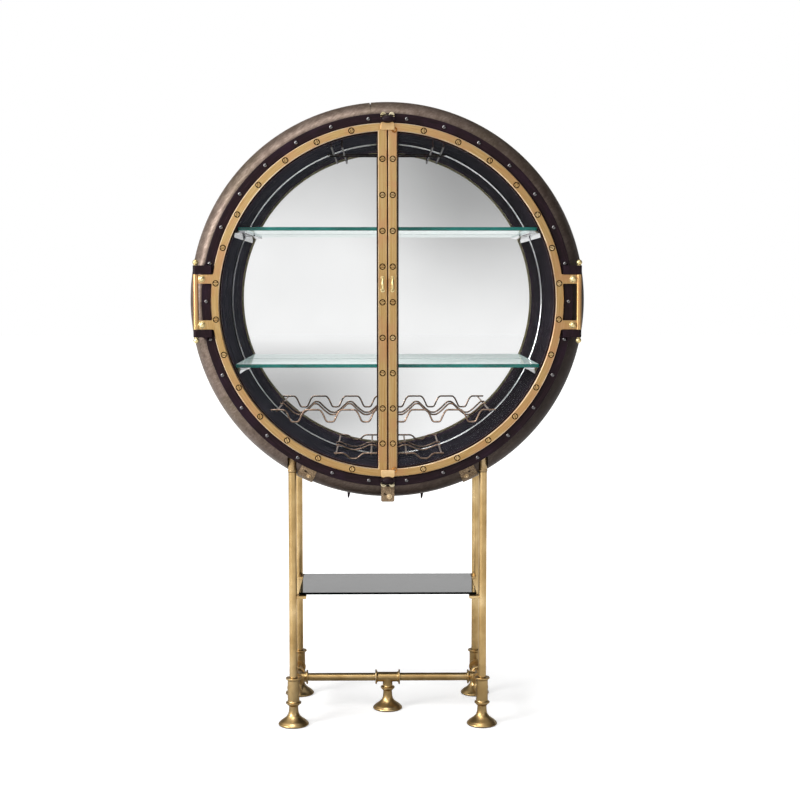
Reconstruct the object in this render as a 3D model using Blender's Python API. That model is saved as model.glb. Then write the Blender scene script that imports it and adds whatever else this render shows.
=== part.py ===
# Round bar cabinet: a drum with two half-round glazed doors on a stand of brass pipe.
#
# Metres, +Z up. The front looks along -Y. The origin lies on the floor, in the middle of the
# object's width and depth. Everything in the drum is modelled about the drum's own axis, which
# runs front to back, and hangs from one empty there. Depths are measured back from the front
# face of the dark ring. Angles round the drum run clockwise from its top, seen from the front.

import math

import bmesh
import bpy
from mathutils import Matrix, Vector

# Overall places
RING_FACE_Y = -0.1855
DRUM_HEIGHT = 1.194
CIRCLE_STEPS = 72
FIT_GAP = 0.0003

# Drum: shell, dark front ring, liner, mirror and back
SHELL_RADIUS = 0.547
SHELL_WALL = 0.008
SHELL_BACK = 0.372
RIM_INNER_RADIUS = 0.4705
RIM_FRONT = 0.0178
RIM_BACK = 0.085
SHOULDER_DEPTH = 0.075
SHOULDER_STEPS = 5
RING_OUTER_RADIUS = 0.5085
RING_INNER_RADIUS = 0.4835
RING_THICKNESS = 0.0175
RING_BEVEL = 0.002
LINER_INNER_RADIUS = 0.462
LINER_WALL = 0.004
LINER_FRONT = 0.0115
LINER_BACK = 0.346
MIRROR_RADIUS = 0.4603
MIRROR_FRONT = 0.339
MIRROR_THICKNESS = 0.005
BEAD_INNER_RADIUS = 0.4555
BEAD_OUTER_RADIUS = 0.4612
BEAD_THICKNESS = 0.0045
BACK_PANEL_THICKNESS = 0.012
CARCASS_DEPTH = 0.045
STUD_PLACES = (-0.110, 0.097)
STUD_LENGTH = 0.018
STUD_RADIUS = 0.0052
STUD_DEPTH = 0.105

# Doors
DOOR_OUTER_RADIUS = 0.482
DOOR_OPENING_RADIUS = 0.460
DOOR_FRONT = -0.008
DOOR_BACK = 0.004
DOOR_BEVEL = 0.002
MEETING_GAP = 0.004
STILE_WIDTH = 0.024
REBATE_WIDTH = 0.0115
REBATE_FRONT = -0.001
DOOR_ARC_STEPS = 36
DOOR_GLASS_THICKNESS = 0.0043
GLASS_EDGE_GAP = 0.0004
RETAINER_INNER_RADIUS = 0.456
RETAINER_OUTER_RADIUS = 0.480
RETAINER_THICKNESS = 0.004
PULL_HEIGHT = 0.034
PULL_X = 0.0135
PULL_Z = 0.047
PULL_REACH = 0.0175
PULL_RADIUS = 0.0036
PULL_STEPS = 8
PULL_SQUARENESS = 0.6

# Door hinges
HINGE_X = 0.523
HINGE_DEPTH = -0.005
PIN_RADIUS = 0.004
KNUCKLE_BORE = 0.0045
BARREL_RADIUS = 0.0075
BARREL_BORE = 0.0047
BARREL_TOP = 0.0735
BARREL_BOTTOM = -0.0765
ARM_HEIGHT = 0.025
ARM_FRONT = -0.0085
ARM_BACK = -0.0012
ARM_INNER_X = 0.4725
ARM_BOLT_X = 0.506
ARM_BOLT_RADIUS = 0.0085
ACORN_PROFILE = ((1.0, 0.0), (1.0, 0.9), (0.75, 1.25), (0.3, 1.5))
KNUCKLE_TOP = 0.098
KNUCKLE_GAP = 0.0008
KNUCKLE_FRONT = -0.0125
KNUCKLE_INNER_X = 0.4795
KNUCKLE_RADIUS = 0.0075
FINIAL_RADIUS = 0.008
BALL_PROFILE = ((0.75, -0.66), (1.0, 0.0), (0.75, 0.66), (0.25, 1.0))

# Latches at the top and bottom of the meeting stiles
LATCH_AXIS_RADIUS = 0.4915
LATCH_AXIS_DEPTH = -0.0145
LATCH_WIDTH = 0.039
LATCH_BARREL_PROFILE = ((0.0065, -1.0), (0.0092, -0.5), (0.0102, 0.0), (0.0092, 0.5), (0.0065, 1.0))
LATCH_BARREL_LENGTH = 0.029
JOURNAL_RADIUS = 0.003
JOURNAL_BORE = 0.0036
EAR_RADIUS = 0.0078
EAR_THICKNESS = 0.0043
LATCH_PLATE_FRONT = -0.0036
LATCH_PLATE_BACK = -0.0004
LATCH_PLATE_LOW = 0.4845
LOBE_CENTRE_RADIUS = 0.5035
LOBE_RADIUS = 0.0078
LOBE_X = 0.0115
LOBE_FRONT = -0.009
LOBE_STEP = 0.0007
LOBE_STEPS = 8
FLAP_RANGE = (0.4625, 0.4832)
FLAP_TONGUE_TOP = 0.4885
FLAP_CORNER = 0.005
FLAP_FRONT = -0.0130
FLAP_BACK = -0.0092

# Bronze brackets that clasp the shell's shoulder
BRACKET_THICKNESS = 0.003
BRACKET_GAP = 0.0007
SIDE_BRACKET_ANGLE = math.radians(154.8)
SIDE_BRACKET_WIDTH = 0.048
BRACKET_WRAP = 0.025
BOTTOM_BRACKET_WIDTH = 0.037
BOTTOM_BRACKET_RANGE = (0.5115, 0.5545)
BOTTOM_BRACKET_CORNER = 0.003
BOTTOM_BRACKET_WRAP_WIDTH = 0.028

# Shelves, bottle racks and stemware rack inside the drum
SHELF_THICKNESS = 0.010
SHELF_FRONT = 0.045
SHELF_BACK = 0.330
UPPER_SHELF_Z = 0.199
LOWER_SHELF_Z = -0.179
SHELF_END_GAP = 0.002
CLIP_WIDTH = 0.026
CLIP_HEIGHT = 0.018
CLIP_FRONT = 0.055
CLIP_BACK = 0.315
WIRE_RADIUS = 0.0025
WIRE_SIDES = 6
RACK_FRONT = 0.090
RACK_BACK = 0.300
CRADLE_PITCH = 0.0997
CRADLE_HALF_WIDTH = 0.029
CRADLE_SHAPE = ((-0.75, 0.25), (-0.36, 1.0), (0.36, 1.0), (0.75, 0.25))
REAR_DIP_SHAPE = ((0.55, 0.62), (0.85, 0.95), (1.15, 0.95), (1.45, 0.62))
REAR_PEAK_HALF_WIDTH = 0.12
UPPER_RACK_Z = -0.305
UPPER_RACK_DROP = 0.034
UPPER_RACK_X = -0.012
UPPER_RACK_CRADLES = 6
UPPER_RACK_END = 0.038
LOWER_RACK_Z = -0.428
LOWER_RACK_DROP = 0.015
LOWER_RACK_X = 0.0035
LOWER_RACK_CRADLES = 3
LOWER_RACK_END = 0.026
STEM_RAIL_Z = 0.424
STEM_RAIL_GAP = 0.030
STEM_CHANNELS = (-0.140, 0.0, 0.140)
STEM_RACK_FRONT = 0.060
STEM_RACK_BACK = 0.310
STEM_HOOK_BEND = 0.006

# Stand
LEG_X = 0.266
FRONT_LEG_DEPTH = 0.042
REAR_LEG_DEPTH = 0.354
MIDDLE_DEPTH = (FRONT_LEG_DEPTH + REAR_LEG_DEPTH) / 2
LEG_RADIUS = 0.0112
LEG_COLLAR_FOOT_RADIUS = 0.0115
LEG_COLLAR_TOP_RADIUS = 0.0127
LEG_BEAD_RADIUS = 0.0128
LEG_BEAD_HEIGHT = 0.7235
LEG_BEAD_THICKNESS = 0.003
LEG_TOP = 0.763
GROOVE_RADIUS = 0.0137
GROOVE_MOUTH_HALF_WIDTH = 0.0133
FOOT_HEIGHT = 0.062
FOOT_BASE_RADIUS = 0.040
FOOT_RADIUS = 0.043
FOOT_RIM_HEIGHT = 0.0055
FOOT_BELL_RADIUS = 0.0395
FOOT_BELL_BOTTOM = 0.009
FOOT_BELL_SCALE = 0.0135
FOOT_BELL_POWER = 1.5
FOOT_BELL_STEPS = 7
FOOT_NECK_RADIUS = 0.0129
FOOT_NECK_TOP = 0.054
FOOT_CAP_RADIUS = 0.0185
FOOT_CAP_EDGE = 0.0015
TEE_TOP = 0.136
TEE_RADIUS = 0.0165
TEE_FLANGE_RADIUS = 0.0215
TEE_FLANGE_THICKNESS = 0.0042
TEE_FLARE = 0.005
BAR_HEIGHT = 0.0945
BAR_RADIUS = 0.0114
BRANCH_RADIUS = 0.0141
BRANCH_FLANGE_RADIUS = 0.0205
BRANCH_LENGTH = 0.044
INNER_BRANCH_LENGTH = 0.033
CENTRE_TEE_REACH = 0.036
PIPE_STEPS = 14
FOOT_STEPS = 16
STAND_SHELF_TOP = 0.375
STAND_SHELF_THICKNESS = 0.006
STAND_SHELF_HALF_WIDTH = 0.2505
STAND_SHELF_FRONT = 0.057
STAND_SHELF_BACK = 0.328
LEG_TAB_THICKNESS = 0.008
LEG_TAB_INNER_X = 0.229
FRONT_TAB_REACH = 0.028
REAR_TAB_REACH = 0.045


def clear_scene():
    for item in list(bpy.data.objects):
        bpy.data.objects.remove(item, do_unlink=True)


def finish_material(name, colour, roughness, metallic, transmission=0.0):
    material = bpy.data.materials.new(name)
    material.use_nodes = True
    shader = material.node_tree.nodes["Principled BSDF"]
    shader.inputs["Base Color"].default_value = (*colour, 1.0)
    shader.inputs["Roughness"].default_value = roughness
    shader.inputs["Metallic"].default_value = metallic
    shader.inputs["Transmission Weight"].default_value = transmission
    material.diffuse_color = (*colour, 1.0)
    return material


# Mesh building

def skin(loops, wrap=False):
    """Join loops of equal length by quads. The last loop meets the first, or both get caps."""
    builder = bmesh.new()
    rows = [[builder.verts.new(point) for point in loop] for loop in loops]
    pairs = list(zip(rows, rows[1:]))
    if wrap:
        pairs.append((rows[-1], rows[0]))
    else:
        builder.faces.new(rows[0])
        builder.faces.new(rows[-1])
    for lower, upper in pairs:
        count = len(lower)
        for i in range(count):
            j = (i + 1) % count
            builder.faces.new((lower[i], lower[j], upper[j], upper[i]))
    bmesh.ops.recalc_face_normals(builder, faces=builder.faces)
    mesh = bpy.data.meshes.new("skin")
    builder.to_mesh(mesh)
    builder.free()
    return mesh


def drum_point(radius, depth, angle):
    return Vector((radius * math.sin(angle), depth, radius * math.cos(angle)))


def drum_ring(section):
    """Sweep a closed section of (radius, depth) points all the way round the drum's axis."""
    angles = [2 * math.pi * i / CIRCLE_STEPS for i in range(CIRCLE_STEPS)]
    return skin([[drum_point(r, d, a) for r, d in section] for a in angles], wrap=True)


def drum_disc(radius, front, back):
    angles = [2 * math.pi * i / CIRCLE_STEPS for i in range(CIRCLE_STEPS)]
    return skin([[drum_point(radius, d, a) for a in angles] for d in (front, back)])


def turned(profile, steps=PIPE_STEPS):
    """Turn an open profile of (radius, height) points about Z and cap both ends."""
    angles = [2 * math.pi * i / steps for i in range(steps)]
    return skin([[Vector((r * math.cos(a), r * math.sin(a), h)) for a in angles] for r, h in profile])


def box(x_range, y_range, z_range):
    corners = [(x_range[i], y_range[j]) for i, j in ((0, 0), (1, 0), (1, 1), (0, 1))]
    return skin([[Vector((x, y, z)) for x, y in corners] for z in z_range])


def prism(outline, depths):
    """Extrude an (x, z) outline from one depth to another."""
    return skin([[Vector((x, depth, z)) for x, z in outline] for depth in depths])


def wire(points, normal=(0, 1, 0), radius=WIRE_RADIUS, sides=WIRE_SIDES):
    """Round bar along a path that lies in the plane with the given normal."""
    first = Vector(normal)
    loops = []
    for i, point in enumerate(points):
        before = points[max(i - 1, 0)]
        after = points[min(i + 1, len(points) - 1)]
        incoming = (point - before).normalized() if i > 0 else (after - point).normalized()
        outgoing = (after - point).normalized() if i < len(points) - 1 else incoming
        along = (incoming + outgoing).normalized()
        stretch = 1.0 / incoming.dot(along)
        second = along.cross(first).normalized()
        loop = []
        for k in range(sides):
            angle = 2 * math.pi * (k + 0.5) / sides
            loop.append(point + radius * math.cos(angle) * first
                        + radius * stretch * math.sin(angle) * second)
        loops.append(loop)
    return skin(loops)


def moved(mesh, offset=(0, 0, 0), rotation=None):
    matrix = Matrix.Translation(offset)
    if rotation is not None:
        matrix = matrix @ rotation
    mesh.transform(matrix)
    return mesh


def boolean(mesh, tool, operation):
    """Exact Boolean of two closed meshes, as a new mesh."""
    collection = bpy.context.scene.collection
    base = bpy.data.objects.new("boolean_base", mesh)
    other = bpy.data.objects.new("boolean_tool", tool)
    collection.objects.link(base)
    collection.objects.link(other)
    modifier = base.modifiers.new("combine", "BOOLEAN")
    modifier.operation = operation
    modifier.solver = "EXACT"
    modifier.object = other
    bpy.context.view_layer.update()
    depsgraph = bpy.context.evaluated_depsgraph_get()
    result = bpy.data.meshes.new_from_object(base.evaluated_get(depsgraph))
    bpy.data.objects.remove(base)
    bpy.data.objects.remove(other)
    return result


def united(mesh, *others):
    for other in others:
        mesh = boolean(mesh, other, "UNION")
    return mesh


def cut(mesh, *tools):
    for tool in tools:
        mesh = boolean(mesh, tool, "DIFFERENCE")
    return mesh


def add_part(name, mesh, material, parent=None, smooth_angle=35):
    mesh.name = name
    mesh.materials.clear()
    mesh.materials.append(material)
    mesh.shade_smooth()
    mesh.set_sharp_from_angle(angle=math.radians(smooth_angle))
    part = bpy.data.objects.new(name, mesh)
    bpy.context.scene.collection.objects.link(part)
    part.parent = parent
    return part


def add_empty(name, location, parent=None):
    empty = bpy.data.objects.new(name, None)
    empty.location = location
    empty.parent = parent
    bpy.context.scene.collection.objects.link(empty)
    return empty


def along_x(mesh, offset=(0, 0, 0)):
    """Lay a mesh that was turned about Z along X."""
    return moved(mesh, offset, Matrix.Rotation(math.pi / 2, 4, "Y"))


def along_y(mesh, offset=(0, 0, 0)):
    """Lay a mesh that was turned about Z along Y, its top towards the back."""
    return moved(mesh, offset, Matrix.Rotation(-math.pi / 2, 4, "X"))


# Drum

def shoulder_profile():
    """Quarter of an ellipse from the dark ring's edge out to the shell's full radius."""
    points = []
    for i in range(SHOULDER_STEPS + 1):
        turn = math.pi / 2 * i / SHOULDER_STEPS
        radius = RING_OUTER_RADIUS + (SHELL_RADIUS - RING_OUTER_RADIUS) * math.sin(turn)
        depth = SHOULDER_DEPTH - (SHOULDER_DEPTH - RIM_FRONT) * math.cos(turn)
        points.append((radius, depth))
    return points


def make_outer_shell(material, drum):
    section = [(RIM_INNER_RADIUS, RIM_FRONT)]
    section += shoulder_profile()
    section += [
        (SHELL_RADIUS, SHELL_BACK),
        (SHELL_RADIUS - SHELL_WALL, SHELL_BACK),
        (SHELL_RADIUS - SHELL_WALL, RIM_BACK),
        (RIM_INNER_RADIUS, RIM_BACK),
    ]
    shell = drum_ring(section)
    top = LEG_TOP - DRUM_HEIGHT + FIT_GAP
    for side in (-1, 1):
        bore = turned([(GROOVE_RADIUS, -SHELL_RADIUS), (GROOVE_RADIUS, top)])
        moved(bore, (side * LEG_X, FRONT_LEG_DEPTH, 0))
        slot = box(
            (side * LEG_X - GROOVE_MOUTH_HALF_WIDTH, side * LEG_X + GROOVE_MOUTH_HALF_WIDTH),
            (-RIM_FRONT, FRONT_LEG_DEPTH),
            (-SHELL_RADIUS, top),
        )
        shell = cut(shell, united(bore, slot))
    add_part("outer_shell", shell, material, drum)


def hinge_knuckle(side, low, high):
    block = box(
        sorted((side * KNUCKLE_INNER_X, side * HINGE_X)),
        (KNUCKLE_FRONT, RING_BEVEL),
        (low, high),
    )
    nose = turned([(KNUCKLE_RADIUS, low), (KNUCKLE_RADIUS, high)])
    return united(block, moved(nose, (side * HINGE_X, HINGE_DEPTH, 0)))


def make_front_ring(material, drum):
    ring = drum_ring([
        (RING_INNER_RADIUS, 0.0),
        (RING_OUTER_RADIUS - RING_BEVEL, 0.0),
        (RING_OUTER_RADIUS, RING_BEVEL),
        (RING_OUTER_RADIUS, RING_THICKNESS),
        (RING_INNER_RADIUS, RING_THICKNESS),
    ])
    for side in (-1, 1):
        upper = hinge_knuckle(side, BARREL_TOP + KNUCKLE_GAP, KNUCKLE_TOP)
        lower = hinge_knuckle(side, -KNUCKLE_TOP, BARREL_BOTTOM - KNUCKLE_GAP)
        bore = turned([(KNUCKLE_BORE, -2 * KNUCKLE_TOP), (KNUCKLE_BORE, 2 * KNUCKLE_TOP)])
        moved(bore, (side * HINGE_X, HINGE_DEPTH, 0))
        ring = cut(united(ring, upper, lower), bore)
    add_part("front_ring", ring, material, drum)


def make_drum_inside(liner_material, mirror_material, chrome, timber, drum):
    outer = LINER_INNER_RADIUS + LINER_WALL
    add_part("inner_liner", drum_ring([
        (LINER_INNER_RADIUS, LINER_FRONT),
        (outer, LINER_FRONT),
        (outer, LINER_BACK),
        (LINER_INNER_RADIUS, LINER_BACK),
    ]), liner_material, drum)
    mirror_back = MIRROR_FRONT + MIRROR_THICKNESS
    add_part("mirror", drum_disc(MIRROR_RADIUS, MIRROR_FRONT, mirror_back), mirror_material, drum)
    bead_back = MIRROR_FRONT - FIT_GAP
    add_part("mirror_bead", drum_ring([
        (BEAD_INNER_RADIUS, bead_back),
        (BEAD_OUTER_RADIUS, bead_back - BEAD_THICKNESS),
        (BEAD_OUTER_RADIUS, bead_back),
    ]), chrome, drum)
    inside_wall = SHELL_RADIUS - SHELL_WALL - 2 * FIT_GAP
    panel_front = LINER_BACK + FIT_GAP
    panel = drum_disc(inside_wall, panel_front, panel_front + BACK_PANEL_THICKNESS)
    add_part("back_panel", panel, timber, drum)
    add_part("rear_carcass_ring", drum_ring([
        (outer + 2 * FIT_GAP, LINER_BACK - CARCASS_DEPTH),
        (inside_wall, LINER_BACK - CARCASS_DEPTH),
        (inside_wall, LINER_BACK),
        (outer + 2 * FIT_GAP, LINER_BACK),
    ]), timber, drum)


def make_studs(material, drum):
    for name, x in zip(("left_bottom_stud", "right_bottom_stud"), STUD_PLACES):
        top = -math.sqrt((SHELL_RADIUS + BRACKET_GAP) ** 2 - (abs(x) - STUD_RADIUS) ** 2)
        top -= STUD_RADIUS * abs(x) / SHELL_RADIUS
        stud = turned([(STUD_RADIUS / 4, top - STUD_LENGTH), (STUD_RADIUS / 2, top - 0.9 * STUD_LENGTH),
                       (STUD_RADIUS, top)], steps=8)
        add_part(name, moved(stud, (x, STUD_DEPTH, 0)), material, drum)


def shoulder_bracket(angle, width, start_radius):
    """Bent plate over the shoulder and a little way along the shell, at one angle of the drum."""
    inner = [(start_radius, RIM_FRONT - BRACKET_GAP)]
    inner += [(r, d) for r, d in shoulder_profile() if r > start_radius]
    inner.append((SHELL_RADIUS, SHOULDER_DEPTH + BRACKET_WRAP))
    lifted = []
    outside = []
    for i, (radius, depth) in enumerate(inner):
        before = Vector(inner[max(i - 1, 0)])
        after = Vector(inner[min(i + 1, len(inner) - 1)])
        along = (after - before).normalized()
        out = Vector((along.y, -along.x))
        here = Vector((radius, depth))
        lifted.append(here + out * BRACKET_GAP)
        outside.append(here + out * (BRACKET_GAP + BRACKET_THICKNESS))
    section = lifted + outside[::-1]
    half = width / 2 / SHELL_RADIUS
    angles = (angle - half, angle, angle + half)
    return skin([[drum_point(r, d, a) for r, d in section] for a in angles])


def bottom_bracket():
    """Flat plate that hangs past the shell's edge, on a narrower strap bent round the shoulder."""
    start = RING_OUTER_RADIUS + BRACKET_GAP
    strap = shoulder_bracket(math.pi, BOTTOM_BRACKET_WRAP_WIDTH, start)
    half = BOTTOM_BRACKET_WIDTH / 2
    top, low = BOTTOM_BRACKET_RANGE
    corner = BOTTOM_BRACKET_CORNER
    outline = [(-half, -top), (half, -top), (half, corner - low), (half - corner, -low),
               (corner - half, -low), (-half, corner - low)]
    front = RIM_FRONT - 3 * BRACKET_GAP - BRACKET_THICKNESS
    return united(strap, prism(outline, (front, front + BRACKET_THICKNESS)))


def make_brackets(material, drum):
    start = RING_OUTER_RADIUS + BRACKET_GAP
    right = shoulder_bracket(SIDE_BRACKET_ANGLE, SIDE_BRACKET_WIDTH, start)
    left = shoulder_bracket(-SIDE_BRACKET_ANGLE, SIDE_BRACKET_WIDTH, start)
    add_part("right_bracket", right, material, drum)
    add_part("left_bracket", left, material, drum)
    add_part("bottom_bracket", bottom_bracket(), material, drum)


# Doors

def door_loop(side, radius, meeting_x, depth):
    """D-shaped loop: an arc of the door's side of the drum, closed by the straight stile."""
    lean = math.asin(meeting_x / radius)
    loop = []
    for i in range(DOOR_ARC_STEPS + 1):
        angle = lean + (math.pi - 2 * lean) * i / DOOR_ARC_STEPS
        loop.append(drum_point(radius, depth, side * angle))
    return loop


def door_frame_mesh(side):
    edge = MEETING_GAP / 2
    inner = edge + STILE_WIDTH
    rebate_radius = DOOR_OPENING_RADIUS + REBATE_WIDTH
    rebate_x = inner - REBATE_WIDTH
    rows = [
        (DOOR_OUTER_RADIUS, edge, DOOR_BACK),
        (DOOR_OUTER_RADIUS, edge, DOOR_FRONT + DOOR_BEVEL),
        (DOOR_OUTER_RADIUS - DOOR_BEVEL, edge + DOOR_BEVEL, DOOR_FRONT),
        (DOOR_OPENING_RADIUS + DOOR_BEVEL, inner - DOOR_BEVEL, DOOR_FRONT),
        (DOOR_OPENING_RADIUS, inner, DOOR_FRONT + DOOR_BEVEL),
        (DOOR_OPENING_RADIUS, inner, REBATE_FRONT),
        (rebate_radius, rebate_x, REBATE_FRONT),
        (rebate_radius, rebate_x, DOOR_BACK),
    ]
    return skin([door_loop(side, *row) for row in rows], wrap=True)


def hinge_arm(side, low):
    return box(
        sorted((side * ARM_INNER_X, side * (HINGE_X - BARREL_BORE))),
        (ARM_FRONT, ARM_BACK),
        (low, low + ARM_HEIGHT),
    )


def arm_bolt(side, height):
    """Acorn nut that stands out of a hinge arm."""
    base = (ARM_FRONT + ARM_BACK) / 2
    dome = turned([(ARM_BOLT_RADIUS * r, ARM_BOLT_RADIUS * h) for r, h in ACORN_PROFILE], steps=10)
    facing = Matrix.Rotation(math.pi / 2, 4, "X")
    return moved(dome, (side * ARM_BOLT_X, base, height), facing)


def make_door_frame(name, side, material, hinge):
    frame = door_frame_mesh(side)
    barrel = turned([(BARREL_RADIUS, BARREL_BOTTOM), (BARREL_RADIUS, BARREL_TOP)])
    bore = turned([(BARREL_BORE, 2 * BARREL_BOTTOM), (BARREL_BORE, 2 * BARREL_TOP)])
    moved(barrel, (side * HINGE_X, HINGE_DEPTH, 0))
    moved(bore, (side * HINGE_X, HINGE_DEPTH, 0))
    strap = barrel
    for low in (BARREL_TOP - ARM_HEIGHT, BARREL_BOTTOM):
        arm = united(hinge_arm(side, low), arm_bolt(side, low + ARM_HEIGHT / 2))
        strap = united(strap, arm)
    frame = united(frame, cut(strap, bore))
    hinge_place = (-side * HINGE_X, -HINGE_DEPTH, 0)
    add_part(name, moved(frame, hinge_place), material, hinge)


def make_door_glazing(prefix, side, glass, brass, hinge):
    hinge_place = (-side * HINGE_X, -HINGE_DEPTH, 0)
    pane_radius = DOOR_OPENING_RADIUS + REBATE_WIDTH - GLASS_EDGE_GAP
    pane_edge = MEETING_GAP / 2 + STILE_WIDTH - REBATE_WIDTH + GLASS_EDGE_GAP
    pane_front = REBATE_FRONT + FIT_GAP
    pane = skin([
        door_loop(side, pane_radius, pane_edge, depth)
        for depth in (pane_front, pane_front + DOOR_GLASS_THICKNESS)
    ])
    add_part(prefix + "_door_glass", moved(pane, hinge_place), glass, hinge)
    front = DOOR_BACK + FIT_GAP
    back = front + RETAINER_THICKNESS
    outer_edge = MEETING_GAP / 2 + DOOR_OUTER_RADIUS - RETAINER_OUTER_RADIUS
    inner_edge = MEETING_GAP / 2 + STILE_WIDTH + DOOR_OPENING_RADIUS - RETAINER_INNER_RADIUS
    retainer = skin([
        door_loop(side, RETAINER_OUTER_RADIUS, outer_edge, front),
        door_loop(side, RETAINER_OUTER_RADIUS, outer_edge, back),
        door_loop(side, RETAINER_INNER_RADIUS, inner_edge, back),
        door_loop(side, RETAINER_INNER_RADIUS, inner_edge, front),
    ], wrap=True)
    add_part(prefix + "_glass_retainer", moved(retainer, hinge_place), brass, hinge)


def make_pull(name, side, material, hinge):
    """Upright bow on the stile, thickest in the middle."""
    points = []
    lift = PULL_REACH - PULL_RADIUS
    for i in range(PULL_STEPS + 1):
        turn = math.pi * i / PULL_STEPS
        depth = DOOR_FRONT - FIT_GAP - lift * math.sin(turn) ** PULL_SQUARENESS
        points.append(Vector((side * PULL_X, depth, PULL_Z - PULL_HEIGHT / 2 * math.cos(turn))))
    bow = wire(points, normal=(1, 0, 0), radius=PULL_RADIUS, sides=8)
    flat_back = box((-1, 1), (DOOR_FRONT - FIT_GAP, 1), (-1, 1))
    bow = cut(bow, flat_back)
    add_part(name, moved(bow, (-side * HINGE_X, -HINGE_DEPTH, 0)), material, hinge)


def make_hinge_pin(name, side, material, drum):
    """Pin through the knuckles and the barrel, with a ball at each end."""
    ball = KNUCKLE_TOP + FIT_GAP + FINIAL_RADIUS
    half = [(PIN_RADIUS, ball - FINIAL_RADIUS)]
    half += [(FINIAL_RADIUS * r, ball + FINIAL_RADIUS * h) for r, h in BALL_PROFILE]
    profile = [(r, -h) for r, h in half[::-1]] + half
    pin = turned(profile, steps=12)
    add_part(name, moved(pin, (side * HINGE_X, HINGE_DEPTH, 0)), material, drum)


# Latches. The upper one is modelled, and the lower one is its mirror image.

def mirrored_z(mesh):
    mesh.transform(Matrix.Scale(-1, 4, (0, 0, 1)))
    mesh.flip_normals()
    return mesh


def latch_ear(x_range):
    """Ear of the fixed plate, rounded about the latch's axis."""
    low, high = x_range
    centre = (LATCH_AXIS_DEPTH, LATCH_AXIS_RADIUS)
    outline = [(LATCH_PLATE_BACK - FIT_GAP, centre[1] + EAR_RADIUS)]
    steps = 8
    for i in range(steps + 1):
        turn = math.pi / 2 + math.pi * i / steps
        outline.append((centre[0] + EAR_RADIUS * math.cos(turn), centre[1] + EAR_RADIUS * math.sin(turn)))
    outline.append((LATCH_PLATE_BACK - FIT_GAP, centre[1] - EAR_RADIUS))
    return skin([[Vector((x, y, z)) for y, z in outline] for x in (low, high)])


def lobed_outline(low, radius):
    """Plate outline whose top edge rises in two round lobes with a notch between them."""
    outline = [(-LOBE_X - radius, low), (LOBE_X + radius, low)]
    for centre in (LOBE_X, -LOBE_X):
        for i in range(LOBE_STEPS + 1):
            turn = math.pi * i / LOBE_STEPS
            outline.append((centre + radius * math.cos(turn),
                            LOBE_CENTRE_RADIUS + radius * math.sin(turn)))
    return outline


def latch_base():
    half = LATCH_WIDTH / 2
    base = prism(lobed_outline(LATCH_PLATE_LOW, LOBE_RADIUS), (LATCH_PLATE_FRONT, LATCH_PLATE_BACK))
    raised = lobed_outline(LOBE_CENTRE_RADIUS - LOBE_STEP, LOBE_RADIUS - LOBE_STEP)
    lobes = prism(raised, (LOBE_FRONT, LATCH_PLATE_BACK - LOBE_STEP))
    base = united(base, lobes, latch_ear((-half + FIT_GAP, -half + EAR_THICKNESS)),
                  latch_ear((half - EAR_THICKNESS, half - FIT_GAP)))
    bore = turned([(JOURNAL_BORE, -LATCH_WIDTH), (JOURNAL_BORE, LATCH_WIDTH)], steps=12)
    return cut(base, along_x(bore, (0, LATCH_AXIS_DEPTH, LATCH_AXIS_RADIUS)))


def barrel_profile(spare):
    half = LATCH_BARREL_LENGTH / 2
    return [(radius + spare, half * along) for radius, along in LATCH_BARREL_PROFILE]


def latch_barrel():
    """Barrel that swells towards its middle, on a thin journal at each end."""
    half = LATCH_BARREL_LENGTH / 2
    end = LATCH_WIDTH / 2 - FIT_GAP
    profile = [(JOURNAL_RADIUS, -end), (JOURNAL_RADIUS, -half)]
    profile += barrel_profile(0.0)
    profile += [(JOURNAL_RADIUS, half), (JOURNAL_RADIUS, end)]
    return along_x(turned(profile, steps=12))


def latch_flap():
    half = LATCH_WIDTH / 2
    tongue_half = LATCH_BARREL_LENGTH / 2 - FIT_GAP
    low, high = FLAP_RANGE
    outline = [(-half, high), (half, high), (half, low + FLAP_CORNER), (half - FLAP_CORNER, low),
               (FLAP_CORNER - half, low), (-half, low + FLAP_CORNER)]
    plate = prism(outline, (FLAP_FRONT, FLAP_BACK))
    tongue = box((-tongue_half, tongue_half), (FLAP_FRONT, FLAP_BACK),
                 (high - JOURNAL_RADIUS, FLAP_TONGUE_TOP))
    cope = along_x(turned(barrel_profile(2 * FIT_GAP)), (0, LATCH_AXIS_DEPTH, LATCH_AXIS_RADIUS))
    flap = cut(united(plate, tongue), cope)
    return moved(flap, (0, -LATCH_AXIS_DEPTH, -LATCH_AXIS_RADIUS))


def make_latch(prefix, side, brass, dark, drum):
    axis = add_empty(prefix + "_latch_axis", (0, LATCH_AXIS_DEPTH, side * LATCH_AXIS_RADIUS), drum)
    base = latch_base()
    barrel = latch_barrel()
    flap = latch_flap()
    if side < 0:
        mirrored_z(base)
        mirrored_z(barrel)
        mirrored_z(flap)
    add_part(prefix + "_latch_base", base, brass, drum)
    add_part(prefix + "_latch_barrel", barrel, dark, axis)
    add_part(prefix + "_latch_flap", flap, brass, axis)


# Inside the drum: shelves and racks

def liner_half_width(height, gap):
    radius = LINER_INNER_RADIUS * math.cos(math.pi / CIRCLE_STEPS) - gap
    return math.sqrt(radius ** 2 - height ** 2)


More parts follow.
